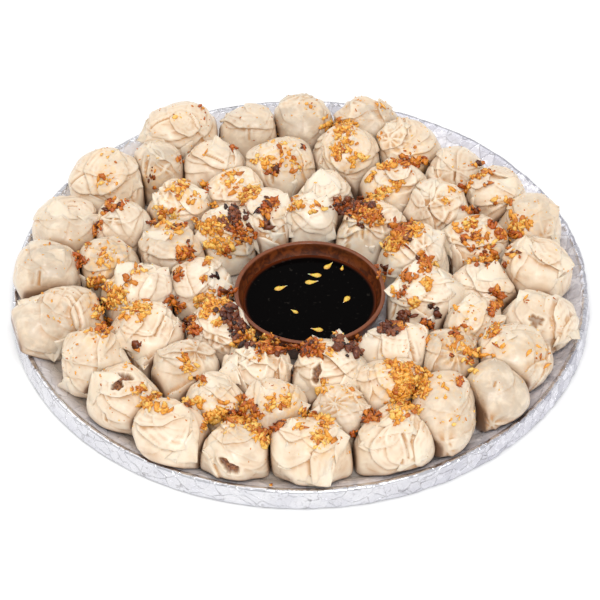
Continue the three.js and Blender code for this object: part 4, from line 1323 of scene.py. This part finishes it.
def make_foil():
    finish, shader = new_finish("kitchen_foil")
    cloudy = spread(finish, grain(finish, 12), 0.3, 0.7)
    colour = mixed(finish, cloudy, paint(226, 226, 230), paint(214, 214, 220))
    # The inner slope is painted brighter, as painted light where the dumplings shade it and are all it
    # mirrors.
    colour = mixed(finish, scaled(finish, mark(finish, "inside"), 0.8), colour, paint(238, 237, 243))
    broad, creases, painted_facet_shade = facets(finish, 8)
    small, _, painted_flecks = facets(finish, 2)
    crushed = mark(finish, "crushed")
    # Crushed foil is painted greyer, a painted reflection of the room it mirrors.
    colour = mixed(finish, scaled(finish, crushed, 0.7), colour, paint(204, 203, 213))
    # Painted glints on the small cells, most where the foil is crushed.
    painted_glints = scaled(finish, product(finish, painted_flecks, crushed), 0.7)
    colour = mixed(finish, painted_glints, colour, paint(246, 246, 252))
    # Painted dark facets on the large cells, most where the foil is crushed.
    painted_dark_facets = scaled(finish, product(finish, painted_facet_shade, crushed), 0.5)
    colour = mixed(finish, painted_dark_facets, colour, paint(164, 163, 176))
    # A beige film of steam and oil, painted pale to lift the dumplings' shade on the slope.
    smeared = spread(finish, grain(finish, 6, distortion=2), 0.3, 0.7)
    oil_film_and_painted_light = mixed(finish, smeared, paint(246, 233, 215), paint(230, 213, 191))
    colour = mixed(finish, scaled(finish, mark(finish, "oily"), 0.75), colour, oil_film_and_painted_light)
    wrinkled = spread(finish, grain(finish, 9), 0.5, 0.65)
    # Painted shade in the crease lines, and painted dark flecks.
    for painted_dark_lines, share in ((creases, 0.25), (spread(finish, painted_flecks, 0.75, 1.0), 0.5)):
        painted_dark_lines = scaled(finish, product(finish, painted_dark_lines, wrinkled), share)
        colour = mixed(finish, painted_dark_lines, colour, paint(116, 110, 112))
    link(finish, colour, shader, "Base Color")
    link(finish, spread(finish, mark(finish, "inside"), 0.0, 1.0, 1.0, 0.25), shader, "Metallic")
    link(finish, spread(finish, grain(finish, 8), 0.3, 0.7, 0.12, 0.26), shader, "Roughness")
    bumped(finish, shader, [(broad, 1.2, 0.8), (small, 0.35, 0.7), (creases, 0.4, 0.5)])
    return finish


foil = add_piece("foil_board", foil_points, foil_quads, make_foil(), ("tray",),
                 {"oily": oily, "crushed": crushed, "inside": inside})
print("foil:", len(foil.data.polygons), "quads")

# %% [markdown]
# ## The dip bowl
#
# A small thrown bowl with a red-brown glaze. Its rim carries a painted highlight, a lighter, rosier brown
# than the wall. One outline turned round its middle is all the shape; a smooth curve through the imported
# solid's points rounds the lip. A coat over a rougher body gives the soft gloss of glaze, which a plain
# shiny plastic look would miss.

# %% Bowl
BOWL_SECTION = [(0.5, 0), (16, 0), (31, 0), (33.5, 1.5), (37.2, 7.5), (40.5, 14), (42.4, 19.5), (43.6, 24),
                (43.2, 24.4), (42.4, 24.5), (41.6, 24.4), (41.2, 24), (40.4, 20.5), (38.5, 16.6), (35, 11.4),
                (30, 6), (26, 4.5), (13, 4.2), (0.5, 4.2)]
BOWL_AROUND = 128


def curve_through(section, parts):
    """A smooth curve through the points of an outline."""
    padded = np.array([section[0], *section, section[-1]], float)
    share = (np.arange(parts) / parts)[:, None]
    curve = []
    for before, start, end, after in zip(padded, padded[1:], padded[2:], padded[3:]):
        tangent_in, tangent_out = (end - before) / 2, (after - start) / 2
        limit = np.linalg.norm(end - start)
        tangent_in *= min(1, limit / max(np.linalg.norm(tangent_in), 1e-9))
        tangent_out *= min(1, limit / max(np.linalg.norm(tangent_out), 1e-9))
        rising = 3 * share**2 - 2 * share**3
        curve.append((1 - rising) * start + (share**3 - 2 * share**2 + share) * tangent_in
                     + rising * end + (share**3 - share**2) * tangent_out)
    return np.concatenate(curve + [padded[-1:]])


def make_glaze():
    finish, shader = new_finish("brown_glaze", Roughness=0.3, Specular_IOR_Level=0.3, Coat_Weight=0.3,
                                Coat_Roughness=0.12)
    runs = spread(finish, grain(finish, 6, distortion=1.5), 0.35, 0.65)
    colour = mixed(finish, runs, paint(112, 54, 20), paint(66, 27, 11))
    speckle = spread(finish, grain(finish, 0.9), 0.6, 0.75, 0, 0.5)
    colour = mixed(finish, speckle, colour, paint(50, 22, 10))
    # The rim's lighter, rosier brown is a painted highlight.
    colour = mixed(finish, scaled(finish, mark(finish, "painted_rim_highlight"), 0.6), colour, paint(136, 76, 44))
    link(finish, colour, shader, "Base Color")
    bumped(finish, shader, [(grain(finish, 2.5), 0.15, 0.3)])
    return finish


bowl_base = np.array([bowl_middle[0], bowl_middle[1], bowl_low[2]])
bowl_section = curve_through(BOWL_SECTION, 4)
bowl_points, bowl_quads = lathe(bowl_section, BOWL_AROUND)
rim_height = bowl_high[2] - bowl_low[2]
# Painted highlight along the rim, strongest at its top.
painted_rim_highlight = np.exp(-((bowl_points[:, 2] - rim_height) / 0.8)**2)
bowl = add_piece("dip_bowl_glazed", bowl_points + bowl_base, bowl_quads, make_glaze(),
                 ("dip_bowl",), {"painted_rim_highlight": painted_rim_highlight})
print("bowl rim", round(float(bowl_points[:, 0].max() * 2), 1), "mm across")

# %% [markdown]
# ## Dipping sauce
#
# Soy sauce a centimetre deep looks black. It creeps a little up the wall, and that thin ring is where
# its brown shows. We turn the sauce's own outline, with that small climb at the edge, and give it a very
# dark smooth surface whose mirror is weak, as liquid reflects only a few hundredths of the room. Flecks
# just under the surface are noise in the colour, because nobody sees their shape.

# %% Sauce
SAUCE_SECTION = [(0.3, 4.7), (14, 4.7), (25.7, 5.0), (29.7, 6.5), (34.6, 11.6), (37.6, 15.8), (38.6, 17.2),
                 (38.3, 17.25), (37.6, 16.9), (36.6, 16.65), (34, 16.6), (20, 16.6), (8, 16.6), (0.3, 16.6)]
THIN_FROM, THIN_FADE, THIN_MOST = 36.4, 2.2, 0.8


def make_sauce():
    finish, shader = new_finish("dark_sauce", Roughness=0.06, IOR=1.34, Specular_IOR_Level=0.035)
    colour = mixed(finish, mark(finish, "thin_sauce"), paint(5, 4, 4), paint(96, 40, 14))
    sunken = spread(finish, grain(finish, 2.2, detail=1, distortion=0.8), 0.68, 0.76, 0, 0.5)
    colour = mixed(finish, sunken, colour, paint(48, 44, 40))
    link(finish, colour, shader, "Base Color")
    bumped(finish, shader, [(grain(finish, 14), 0.4, 0.15)])
    return finish


sauce_section = curve_through(SAUCE_SECTION, 3)
sauce_points, sauce_quads = lathe(sauce_section, BOWL_AROUND)
thin_sauce = smooth_step((np.hypot(*sauce_points[:, :2].T) - THIN_FROM) / THIN_FADE) * THIN_MOST
sauce = add_piece("dipping_sauce", sauce_points + bowl_base, sauce_quads, make_sauce(),
                  ("sauce",), {"thin_sauce": thin_sauce})
print("sauce:", len(sauce.data.polygons), "quads")

# %% [markdown]
# ## Chilli seeds
#
# Eight seeds float half sunk in the sauce. A chilli seed is a flat teardrop, amber at its edge, yellow on
# its crown and nearly white at the pointed end. Each is a small ball grid, drawn out on one side, and its
# tip is lifted so that the sauce doesn't hide it.

# %% Chilli seeds
SAUCE_LEVEL = 16.6
SEED_HALF = (4.0, 2.0, 1.4)
SEED_RISE = 0.7
TIP_LIFT = 0.9
SEEDS = [(11, 30, 45, 0.9), (3, 22, 175, 1.0), (1, 16, 5, 1.0), (-17, 11, 20, 1.0), (-9, -9, 150, 0.6),
         (21, 1, 240, 0.9), (4, -24, 172, 0.9), (19, 28, 80, 0.5)]
SEED_CELLS = 8


def make_seed_finish():
    finish, shader = new_finish("chilli_seed", Roughness=0.25, Subsurface_Weight=0.4, Subsurface_Scale=0.0015)
    colour = mixed(finish, mark(finish, "crown"), paint(196, 118, 26), paint(232, 200, 84))
    colour = mixed(finish, mark(finish, "tip"), colour, paint(254, 244, 214))
    mottled = spread(finish, grain(finish, 1.2), 0.45, 0.7, 0, 0.5)
    colour = mixed(finish, mottled, colour, paint(196, 138, 60))
    link(finish, colour, shader, "Base Color")
    bumped(finish, shader, [(grain(finish, 0.7), 0.1, 0.4)])
    return finish


def seed_mesh(row):
    """A teardrop lying on the sauce, with its tip along its own x axis."""
    x, y, degrees, share = row
    directions, quads = ball_grid(SEED_CELLS)
    toward_tip = np.clip(directions[:, 0], -1, 1)
    narrow = 1.15 - 0.95 * smooth_step((toward_tip + 0.4) / 1.4)
    half = np.array(SEED_HALF) * share
    shape = directions * half
    shape[:, 0] = (toward_tip + 0.1 * np.maximum(toward_tip, 0)**3 - 0.05) * half[0]
    shape[:, 1:] *= narrow[:, None]
    shape[:, 2] += TIP_LIFT * half[2] * smooth_step(toward_tip)
    angle = math.radians(degrees)
    cosine, sine = math.cos(angle), math.sin(angle)
    axes = np.array([[cosine, sine, 0], [-sine, cosine, 0], [0, 0, 1]])
    place = bowl_base + np.array([x, y, SAUCE_LEVEL - SEED_HALF[2] * share + SEED_RISE])
    tip = smooth_step((toward_tip - 0.6) / 0.4)
    return place + shape @ axes, quads, tip, smooth_step(directions[:, 2])


seed_points, seed_quads, tips, crowns = zip(*[seed_mesh(row) for row in SEEDS])
seed_quads = [quads + number * len(seed_points[0]) for number, quads in enumerate(seed_quads)]
seeds = add_piece("chilli_seeds", np.concatenate(seed_points), np.concatenate(seed_quads),
                  make_seed_finish(), (),
                  {"tip": np.concatenate(tips), "crown": np.concatenate(crowns)})
print(len(SEEDS), "seeds,", len(seeds.data.polygons), "quads")

# %% [markdown]
# ## Fried garlic, minced meat and chilli
#
# Fried garlic is chopped small and cooked to a crisp, so every crumb has its own tone, golden to nut
# brown, and is toasted darker in spots. Minced meat is a duller brown and dried chilli skin nearly
# black. One recipe makes all four finishes: a tone drawn for each crumb blends its three colours, and
# fine noise toasts the spots. It is a little see-through, which a plain brown would not be.

# %% Finishes of the toppings
def make_crumb_finish(name, pale, deep, dark):
    finish, shader = new_finish(name, Roughness=0.25, Subsurface_Weight=0.15, Subsurface_Scale=0.001)
    colour = mixed(finish, spread(finish, mark(finish, "toast"), 0.0, 0.6), pale, deep)
    colour = mixed(finish, spread(finish, mark(finish, "toast"), 0.6, 1.0), colour, dark)
    colour = mixed(finish, spread(finish, grain(finish, 0.8), 0.45, 0.75, 0, 0.6), colour, dark)
    link(finish, colour, shader, "Base Color")
    bumped(finish, shader, [(grain(finish, 0.6, detail=4), 0.25, 0.7)])
    return finish


golden = make_crumb_finish("golden_garlic", paint(250, 206, 112), paint(238, 164, 58), paint(184, 96, 24))
browned = make_crumb_finish("browned_garlic", paint(230, 148, 50), paint(190, 92, 24), paint(84, 36, 10))
meat = make_crumb_finish("minced_meat", paint(156, 90, 52), paint(100, 46, 26), paint(38, 15, 8))
chilli = make_crumb_finish("chilli_skin", paint(110, 42, 24), paint(62, 20, 14), paint(22, 10, 8))
print("toppings:", ", ".join(finish.name for finish in (golden, browned, meat, chilli)))

# %% [markdown]
# ## Trails in the clefts
#
# Much of the garlic slid off the tops and filled the clefts between dumplings. Such a trail is a row of
# its own: from one place to another on the tray, its half-width, the level it is heaped to, its number
# of crumbs and their kind. They are dropped along the viewer's line, and where a cleft lies deeper than
# the level, they pile up in it towards that level.

# %% Trails in the clefts
TRAILS = [
    ((-118, 43), (-104, 55), 2, 27, 34, "b"), ((-122, 22), (-120, 38), 2, 26, 22, "b"),
    ((-131, 11), (-123, 17), 2, 25, 10, "g"), ((-128, -5), (-125, 0), 1, 27, 6, "b"),
    ((-123, -21), (-114, -14), 3, 27, 34, "g"), ((-114, -24), (-110, -18), 2, 27, 14, "g"),
    ((-111, -36), (-102, -21), 5, 24, 110, "g"), ((-117, -46), (-114, -31), 3, 24, 46, "g"),
    ((-114, -56), (-108, -47), 4, 24, 40, "b"), ((-90, 34), (-83, 37), 2, 26, 24, "b"),
    ((-77, 29), (-68, 32), 2, 28, 26, "b"), ((-77, -30), (-68, -40), 4, 26, 60, "b"),
    ((-66, -49), (-58, -58), 4, 25, 60, "b"), ((-60, 71), (-56, 67), 2, 28, 10, "g"),
    ((-55, 50), (-50, 46), 2, 28, 14, "g"), ((-64, 36), (-59, 32), 2, 28, 12, "g"),
    ((-75, 93), (-72, 88), 1, 28, 6, "b"), ((1, 104), (3, 103), 1, 28, 4, "b"),
    ((-34, 57), (-26, 67), 4, 27, 60, "g"), ((-19, 78), (-13, 87), 2, 28, 26, "b"),
    ((-30, 89), (-22, 92), 2, 28, 14, "g"), ((-58, 26), (-43, 39), 5, 27, 120, "g"),
    ((-41, 33), (-28, 19), 5, 27, 90, "b"), ((-46, 31), (-36, 43), 4, 28, 60, "m"),
    ((-57, 14), (-40, 16), 4, 27, 60, "g"), ((-22, 44), (-15, 56), 3, 27, 44, "b"),
    ((-7, 46), (-1, 53), 2, 27, 22, "g"), ((-24, 30), (-18, 40), 2, 27, 22, "b"),
    ((11, 119), (31, 125), 2, 30, 26, "g"), ((19, 111), (34, 124), 4, 31, 60, "g"),
    ((20, 91), (32, 106), 4, 30, 44, "g"), ((28, 88), (39, 92), 3, 30, 26, "g"),
    ((46, 84), (60, 89), 3, 28, 46, "g"), ((61, 89), (77, 92), 3, 27, 90, "b"),
    ((40, 70), (46, 80), 2, 28, 26, "g"), ((41, 61), (45, 54), 2, 28, 16, "g"),
    ((45, 54), (55, 65), 2, 28, 22, "g"), ((56, 66), (63, 71), 2, 28, 18, "g"),
    ((20, 51), (49, 40), 5, 27, 150, "b"), ((25, 52), (44, 50), 2, 28, 50, "m"),
    ((33, 44), (50, 35), 4, 27, 70, "g"), ((53, 15), (71, 32), 6, 27, 130, "g"),
    ((55, 19), (65, 28), 4, 28, 44, "b"), ((104, 87), (112, 89), 1, 27, 16, "b"),
    ((112, 80), (118, 82), 1, 27, 12, "b"), ((103, 75), (112, 79), 2, 27, 18, "g"),
    ((111, 69), (116, 71), 1, 27, 8, "b"), ((98, 61), (101, 72), 2, 27, 18, "g"),
    ((96, 48), (107, 44), 2, 27, 30, "b"), ((91, 29), (106, 36), 4, 27, 50, "g"),
    ((95, 19), (107, 25), 3, 27, 40, "b"), ((112, 39), (120, 24), 2, 25, 44, "b"),
    ((124, 27), (136, 34), 4, 29, 50, "g"), ((123, 49), (128, 54), 2, 29, 12, "g"),
    ((123, 27), (130, 24), 2, 26, 30, "b"), ((122, 5), (128, 8), 1, 28, 12, "b"),
    ((119, -4), (121, 0), 1, 28, 8, "b"), ((105, 2), (116, 5), 3, 27, 50, "g"),
    ((95, -2), (105, 0), 1, 28, 14, "g"), ((99, 9), (104, 12), 2, 28, 14, "b"),
    ((70, -4), (80, -4), 2, 28, 30, "g"), ((70, 4), (76, 0), 2, 27, 20, "b"),
    ((71, -19), (74, -27), 2, 30, 16, "g"), ((110, -22), (117, -27), 2, 25, 40, "b"),
    ((109, -39), (115, -29), 2, 24, 36, "b"), ((71, -46), (74, -52), 2, 24, 26, "b"),
    ((103, -65), (113, -54), 3, 28, 34, "g"), ((101, -79), (110, -79), 1, 28, 12, "g"),
    ((86, -58), (91, -64), 2, 26, 22, "b"), ((94, -70), (100, -75), 3, 24, 40, "g"),
    ((93, -78), (95, -83), 2, 25, 12, "g"), ((84, -76), (87, -81), 1, 28, 8, "b"),
    ((89, -93), (89, -99), 1, 24, 8, "b"), ((56, -90), (71, -98), 4, 26, 130, "g"),
    ((55, -101), (70, -104), 4, 27, 100, "g"), ((51, -113), (61, -106), 5, 29, 110, "g"),
    ((54, -116), (66, -123), 3, 28, 80, "g"), ((52, -125), (57, -130), 2, 30, 30, "g"),
    ((65, -86), (72, -92), 3, 25, 40, "g"), ((56, -84), (65, -84), 2, 25, 40, "g"),
    ((49, -84), (53, -89), 2, 28, 16, "g"), ((36, -119), (43, -124), 3, 24, 60, "b"),
    ((35, -126), (39, -123), 2, 23, 30, "b"), ((28, -140), (30, -135), 1, 26, 6, "b"),
    ((-54, -137), (-48, -121), 2, 26, 50, "g"), ((-47, -128), (-42, -122), 3, 28, 70, "g"),
    ((-41, -121), (-29, -126), 2, 26, 70, "b"), ((-40, -128), (-26, -130), 2, 27, 60, "g"),
    ((-28, -129), (-21, -139), 4, 25, 110, "g"), ((-21, -145), (-18, -139), 2, 24, 50, "g"),
    ((-19, -136), (-8, -128), 2, 25, 44, "b"), ((-33, -110), (-22, -126), 3, 26, 80, "b"),
    ((-19, -123), (-14, -119), 2, 28, 20, "g"), ((-10, -113), (-7, -119), 2, 29, 24, "g"),
    ((-1, -119), (9, -124), 2, 25, 44, "g"), ((9, -129), (18, -133), 4, 29, 60, "g"),
    ((6, -145), (16, -144), 2, 29, 20, "g"), ((9, -106), (15, -108), 2, 28, 26, "g"),
    ((3, -76), (12, -79), 2, 28, 26, "b"), ((6, -123), (10, -123), 1, 26, 10, "b"),
    ((-67, -73), (-62, -88), 2, 27, 20, "g"), ((-64, -115), (-59, -115), 2, 27, 30, "g"),
    ((-58, -111), (-52, -116), 2, 27, 26, "g"), ((-58, -96), (-53, -95), 2, 26, 20, "b"),
    ((-87, -116), (-79, -106), 3, 25, 70, "g"), ((-90, -106), (-86, -103), 2, 26, 12, "g"),
    ((-86, -44), (-97, -42), 4, 30, 34, "g"), ((-58, -33), (-40, -36), 4, 28, 60, "g"),
    ((-57, -47), (-48, -40), 3, 28, 60, "g"), ((-45, -40), (-37, -55), 4, 28, 70, "m"),
    ((-37, -51), (-32, -57), 3, 27, 30, "m"), ((-48, -52), (-45, -53), 2, 28, 14, "g"),
    ((-39, -61), (-35, -65), 2, 27, 22, "m"), ((-34, -61), (-25, -67), 2, 27, 30, "g"),
    ((-39, -70), (-34, -70), 2, 27, 10, "g"), ((-33, -69), (-25, -68), 2, 26, 16, "m"),
    ((-24, -68), (-14, -61), 4, 26, 90, "g"), ((-22, -72), (-9, -74), 2, 26, 60, "b"),
    ((-19, -64), (-13, -69), 3, 27, 40, "b"), ((-8, -69), (0, -71), 2, 26, 30, "b"),
    ((2, -67), (12, -73), 4, 27, 90, "b"), ((0, -71), (3, -75), 2, 27, 14, "m"),
    ((18, -63), (20, -66), 2, 32, 8, "g"), ((19, -66), (23, -71), 2, 29, 16, "m"),
    ((28, -68), (34, -63), 2, 25, 44, "b"), ((25, -71), (33, -71), 2, 25, 20, "m"),
    ((45, -57), (55, -60), 3, 28, 50, "m"), ((54, -54), (59, -56), 2, 28, 20, "b"),
    ((57, -47), (60, -48), 2, 28, 12, "m"), ((56, -34), (60, -28), 2, 29, 14, "b"),
    ((64, -38), (69, -33), 2, 29, 14, "g"), ((75, -37), (79, -46), 2, 27, 16, "m"),
    ((22, -65), (24, -66), 1, 28, 4, "m"), ((-17, -157.5), (-16, -158), 0.6, 6, 4, "g"),
]
print(len(TRAILS), "trails with", sum(trail[4] for trail in TRAILS), "crumbs")

# %% [markdown]
# ## Chunks
#
# Chopped and fried, garlic breaks into angular chunks of one to three millimetres, and so does the meat.
# Sixteen of them, each a twenty-sided ball with its corners pushed in and out, are enough: turned and
# sized by chance, no two look alike. A ball with noise on its shader would stay round at its edge.

# %% Chunks
CRUMB_SHAPES = 16
CHUNK_CORNERS = 12


def icosahedron():
    golden_ratio = (1 + math.sqrt(5)) / 2
    corners = itertools.product(range(3), (1, -1), (1, -1))
    points = unit([np.roll((0, a, b * golden_ratio), shift) for shift, a, b in corners])
    near = np.linalg.norm(points[:, None] - points[None], axis=-1) < 1.1
    faces = [face for face in itertools.combinations(range(CHUNK_CORNERS), 3)
             if all(near[a, b] for a, b in itertools.combinations(face, 2))]
    outward = [face if np.linalg.det(points[list(face)]) > 0 else face[::-1] for face in faces]
    return points, np.array(outward)


def crumb_shapes():
    points, faces = icosahedron()
    shapes = []
    for number in range(CRUMB_SHAPES):
        jitter = 0.5 + 0.85 * seeded(number * 41 + np.arange(len(points)) * 1.7)
        stretch = 0.7 + 0.6 * seeded(number * 17 + np.arange(3) * 2.3)
        shapes.append(points * jitter[:, None] * stretch)
    return shapes, faces


print(CRUMB_SHAPES, "chunks of", len(crumb_shapes()[1]), "faces")

# %% [markdown]
# ## Letting the crumbs fall
#
# A crumb lies where it landed, so it needs the surface under it and that surface's tilt. We let it fall
# along the viewer's line on everything made so far, which puts each patch where it is seen. A rigid-body
# simulation would also find resting places, but not these. In a thick patch the crumbs stand on each
# other, so they are raised by chance up to the patch's height. The first crumbs of the thickest patches
# are where the solids have theirs. Specks that fell all over come straight down.

# %% Letting the crumbs fall
KINDS = {
    "g": dict(name="garlic_golden", finish=golden, slot="garlic", size=1.12, stretch=(1.5, 0.95, 0.6)),
    "b": dict(name="garlic_browned", finish=browned, slot="garlic_brown", size=1.22,
              stretch=(1.5, 1.0, 0.65)),
    "m": dict(name="minced_meat", finish=meat, slot="filling", size=1.5, stretch=(1.25, 1.0, 0.8)),
    "d": dict(name="chilli_skin", finish=chilli, slot="chilli", size=1.5, stretch=(1.7, 0.7, 0.3)),
}
MOSTLY_SMALL = 2.2
CRUMB_RISE = 0.3
CRUMB_AREA = 3.2
HEAP_STEP = 0.9
LEAST_PILE = 0.8
DEEPEST_PILE = 6.0
TRAIL_KEYS = 300000
SIGHT = 200.0
SPECKS = 1500
SPECK_KEYS = 200000
SPECKS_FROM = 45.0
SPECKS_TO = 160.0
LOWEST_SPECK = 12.0


def turned_frames(normals, spin):
    """Three axes for each crumb: two in the surface, spun by an angle, and the normal."""
    helper = np.where(np.abs(normals[:, 2:]) < 0.9, (0, 0, 1), (1, 0, 0))
    first = unit(np.cross(helper, normals))
    second = np.cross(normals, first)
    cosine, sine = np.cos(spin)[:, None], np.sin(spin)[:, None]
    return np.stack([first * cosine + second * sine, second * cosine - first * sine, normals], 1)


def landing_surface(pieces):
    """One searchable surface of all these pieces, in metres."""
    points, faces = [], []
    for piece in pieces:
        mesh = piece.data
        places = np.empty(len(mesh.vertices) * 3, np.float32)
        mesh.vertices.foreach_get("co", places)
        corners = np.empty(len(mesh.loops), np.int32)
        mesh.loops.foreach_get("vertex_index", corners)
        faces.append(corners.reshape(-1, 4) + sum(map(len, points)))
        points.append(places.reshape(-1, 3))
    return BVHTree.FromPolygons(np.concatenate(points).tolist(), np.concatenate(faces).tolist())


def land(surface, starts, directions):
    """Where each line first meets the surface and the normal there, in millimetres, and which ones do."""
    places, normals, met = np.zeros_like(starts), np.zeros_like(starts), np.zeros(len(starts), bool)
    for number, (start, direction) in enumerate(zip(starts * MM, directions)):
        place, normal, _, _ = surface.ray_cast(Vector(start), Vector(direction))
        if place is not None:
            places[number], met[number] = np.array(place) / MM, True
            normals[number] = np.array(normal) * (-1 if normal.dot(Vector(direction)) > 0 else 1)
    return places, normals, met


def crumb_sizes(kind, keys, least, more):
    """Sizes in millimetres from the least up: most crumbs are small, and a few are large."""
    return KINDS[kind]["size"] * (least + more * seeded(keys + 0.3)**MOSTLY_SMALL)


def patch_crumbs(dumpling, patch, patch_index):
    """Places, normals, sizes and keys of the crumbs of one patch, dropped along the viewer's line."""
    right, up, radius, count, kind = patch
    keys = 1000 * dumpling["key"] + 100 * patch_index + np.arange(count)
    angle = 2 * math.pi * seeded(keys + 0.1)
    off = radius * np.sqrt(seeded(keys + 0.2)) * np.minimum(np.arange(count) + 0.3, 1)
    off = off * (0.85 + 0.3 * np.sin(3 * angle + dumpling["key"]))
    across, upward = right + off * np.cos(angle), up + off * np.sin(angle)
    targets = dumpling["middle"] + np.outer(across, dumpling["across"]) + np.outer(upward, dumpling["upward"])
    starts = targets + SIGHT * dumpling["toward"]
    places, normals, met = land(surface, starts, np.repeat(-dumpling["toward"][None], count, 0))
    size = crumb_sizes(kind, keys, 0.55, 1.35)
    layers = max(count * CRUMB_AREA / (math.pi * radius**2) - 0.6, 0)
    heap = HEAP_STEP * layers * seeded(keys + 0.5) * (1 - (off / (1.2 * radius))**2)
    lift = unit(normals + dumpling["toward"] + (0, 0, 0.5))
    places = places + normals * (CRUMB_RISE * size)[:, None] + lift * heap[:, None]
    return places[met], normals[met], size[met], keys[met]


def trail_crumbs(trail, number):
    """Places, normals, sizes and keys of a trail's crumbs, piled on what lies under them."""
    start, end, half_width, level, count, kind = trail
    keys = TRAIL_KEYS + 1000 * number + np.arange(count)
    along = seeded(keys + 0.1)
    off = half_width * 1.3 * (seeded(keys + 0.2) + seeded(keys + 0.35) - 1)
    line = unit(np.subtract(end, start))
    flat = np.array(start) + np.subtract(end, start) * along[:, None] + off[:, None] * (-line[1], line[0])
    targets = np.column_stack([flat, np.full(count, float(level))])
    toward = unit(eye / MM - targets)
    places, normals, met = land(surface, targets + SIGHT * toward, -toward)
    cleft = np.einsum("ij,ij->i", targets - places, toward)
    pile = np.clip(cleft, LEAST_PILE, DEEPEST_PILE) * seeded(keys + 0.5)
    size = crumb_sizes(kind, keys, 0.5, 1.25)
    lift = unit(toward + (0, 0, 0.6))
    places = places + normals * (CRUMB_RISE * size)[:, None] + lift * pile[:, None]
    return places[met], normals[met], size[met], keys[met]


def scattered_specks():
    """Specks of garlic that fell all over the tops."""
    keys = SPECK_KEYS + np.arange(SPECKS)
    angle, away = 2 * math.pi * seeded(keys + 0.1), np.sqrt(seeded(keys + 0.2))
    distance = SPECKS_FROM + (SPECKS_TO - SPECKS_FROM) * away
    starts = np.stack([distance * np.cos(angle), distance * np.sin(angle), np.full(SPECKS, SIGHT)], 1)
    places, normals, met = land(surface, starts, np.repeat([(0.0, 0.0, -1.0)], SPECKS, 0))
    met &= (places[:, 2] > LOWEST_SPECK) & (np.hypot(*(places - bowl_middle)[:, :2].T) > bowl_radius + 2)
    size = 0.3 + 0.45 * seeded(keys + 0.3)**2
    return (places + normals * (0.2 * size)[:, None])[met], normals[met], size[met], keys[met]


surface = landing_surface([*wrappers, foil, bowl])
print(len(scattered_specks()[0]), "specks land on the dumplings")

# %% [markdown]
# ## One mesh for each kind of crumb
#
# Thousands of separate objects would be slow, and copies that only share a mesh don't survive the export.
# So all crumbs of a kind become one mesh: every chunk is turned into its own frame, with its flat side on
# what it lies on and a little sway, and its tone is written on its points.

# %% Crumbs
CRUMB_SWAY = 0.6


def make_crumbs(kind):
    facts = KINDS[kind]
    shapes, faces = crumb_shapes()
    batches = [patch_crumbs(dumpling, patch, index) for dumpling in platter
               for index, patch in enumerate(dumpling["toppings"]) if patch[4] == kind]
    batches += [trail_crumbs(trail, number) for number, trail in enumerate(TRAILS) if trail[5] == kind]
    if kind == "g":
        batches.append(scattered_specks())
    places, normals, sizes, keys = (np.concatenate(parts) for parts in zip(*batches))
    sway = np.stack([np.sin(keys * 1.3), np.sin(keys * 2.1), np.sin(keys * 3.7)], 1)
    frames = turned_frames(unit(normals + CRUMB_SWAY * sway), 2 * math.pi * seeded(keys + 0.4))
    chosen = (seeded(keys + 0.6) * CRUMB_SHAPES).astype(int)
    local = np.array(shapes)[chosen] * facts["stretch"] * sizes[:, None, None]
    points = places[:, None] + local @ frames
    triangles = faces[None] + CHUNK_CORNERS * np.arange(len(keys))[:, None, None]
    marks = {"toast": np.repeat(seeded(keys + 0.7), CHUNK_CORNERS)}
    piece = add_piece(facts["name"], points.reshape(-1, 3), triangles.reshape(-1, 3), facts["finish"],
                      (), marks, smooth=False)
    print(facts["name"], len(keys), "crumbs")
    return piece


crumbs = [make_crumbs(kind) for kind in KINDS]
print(len(crumbs), "kinds of crumb")

# %% [markdown]
# ## Floor and light
#
# Food is photographed in broad, soft light from above and a little behind, so that the folds show by
# their shadows and the foil has something bright to mirror. One large panel behind the left shoulder of
# the platter gives the direction, a smaller one in front opens the shadows, a very small one makes the
# wet glints, and an even pale surrounding does the rest. One lamp alone would leave the clefts black.
# The floor is plain and pale, and it is staging, not part of the platter.

# %% Studio
FLOOR_SIZE = 8.0
FLOOR_BELOW = 0.0005
SURROUND = 0.75


def panel(name, place, size, power, tint):
    light = bpy.data.lights.new(name, "AREA")
    light.size = size
    light.energy = power
    light.color = tint
    lamp = bpy.data.objects.new(name, light)
    lamp.location = place
    lamp.rotation_euler = (-Vector(place)).to_track_quat("-Z", "Y").to_euler()
    bpy.context.scene.collection.objects.link(lamp)
    return lamp


surround = bpy.data.worlds.new("pale_studio")
surround.use_nodes = True
surround.node_tree.nodes["Background"].inputs["Color"].default_value = (1.0, 1.0, 1.0, 1.0)
surround.node_tree.nodes["Background"].inputs["Strength"].default_value = SURROUND
bpy.context.scene.world = surround
bpy.context.scene.view_settings.view_transform = "Standard"

panel("key_panel", (-1.0, 0.7, 1.9), 2.6, 15.8, (1.0, 0.98, 0.95))
panel("front_panel", (0.4, -1.5, 1.7), 1.6, 21.8, (1.0, 1.0, 1.0))
panel("glint_panel", (0.1, -0.9, 1.5), 0.2, 3, (1.0, 1.0, 1.0))

floor_finish, floor_shader = new_finish("pale_floor", Roughness=0.9)
pale = mixed(floor_finish, grain(floor_finish, 300), paint(250, 250, 250), paint(246, 246, 246))
link(floor_finish, pale, floor_shader, "Base Color")
bpy.ops.mesh.primitive_plane_add(size=FLOOR_SIZE, location=(0, 0, -FLOOR_BELOW))
floor = bpy.context.object
floor.name = "studio_floor"
floor.data.materials.append(floor_finish)
print("three panels and a floor of", FLOOR_SIZE, "m")
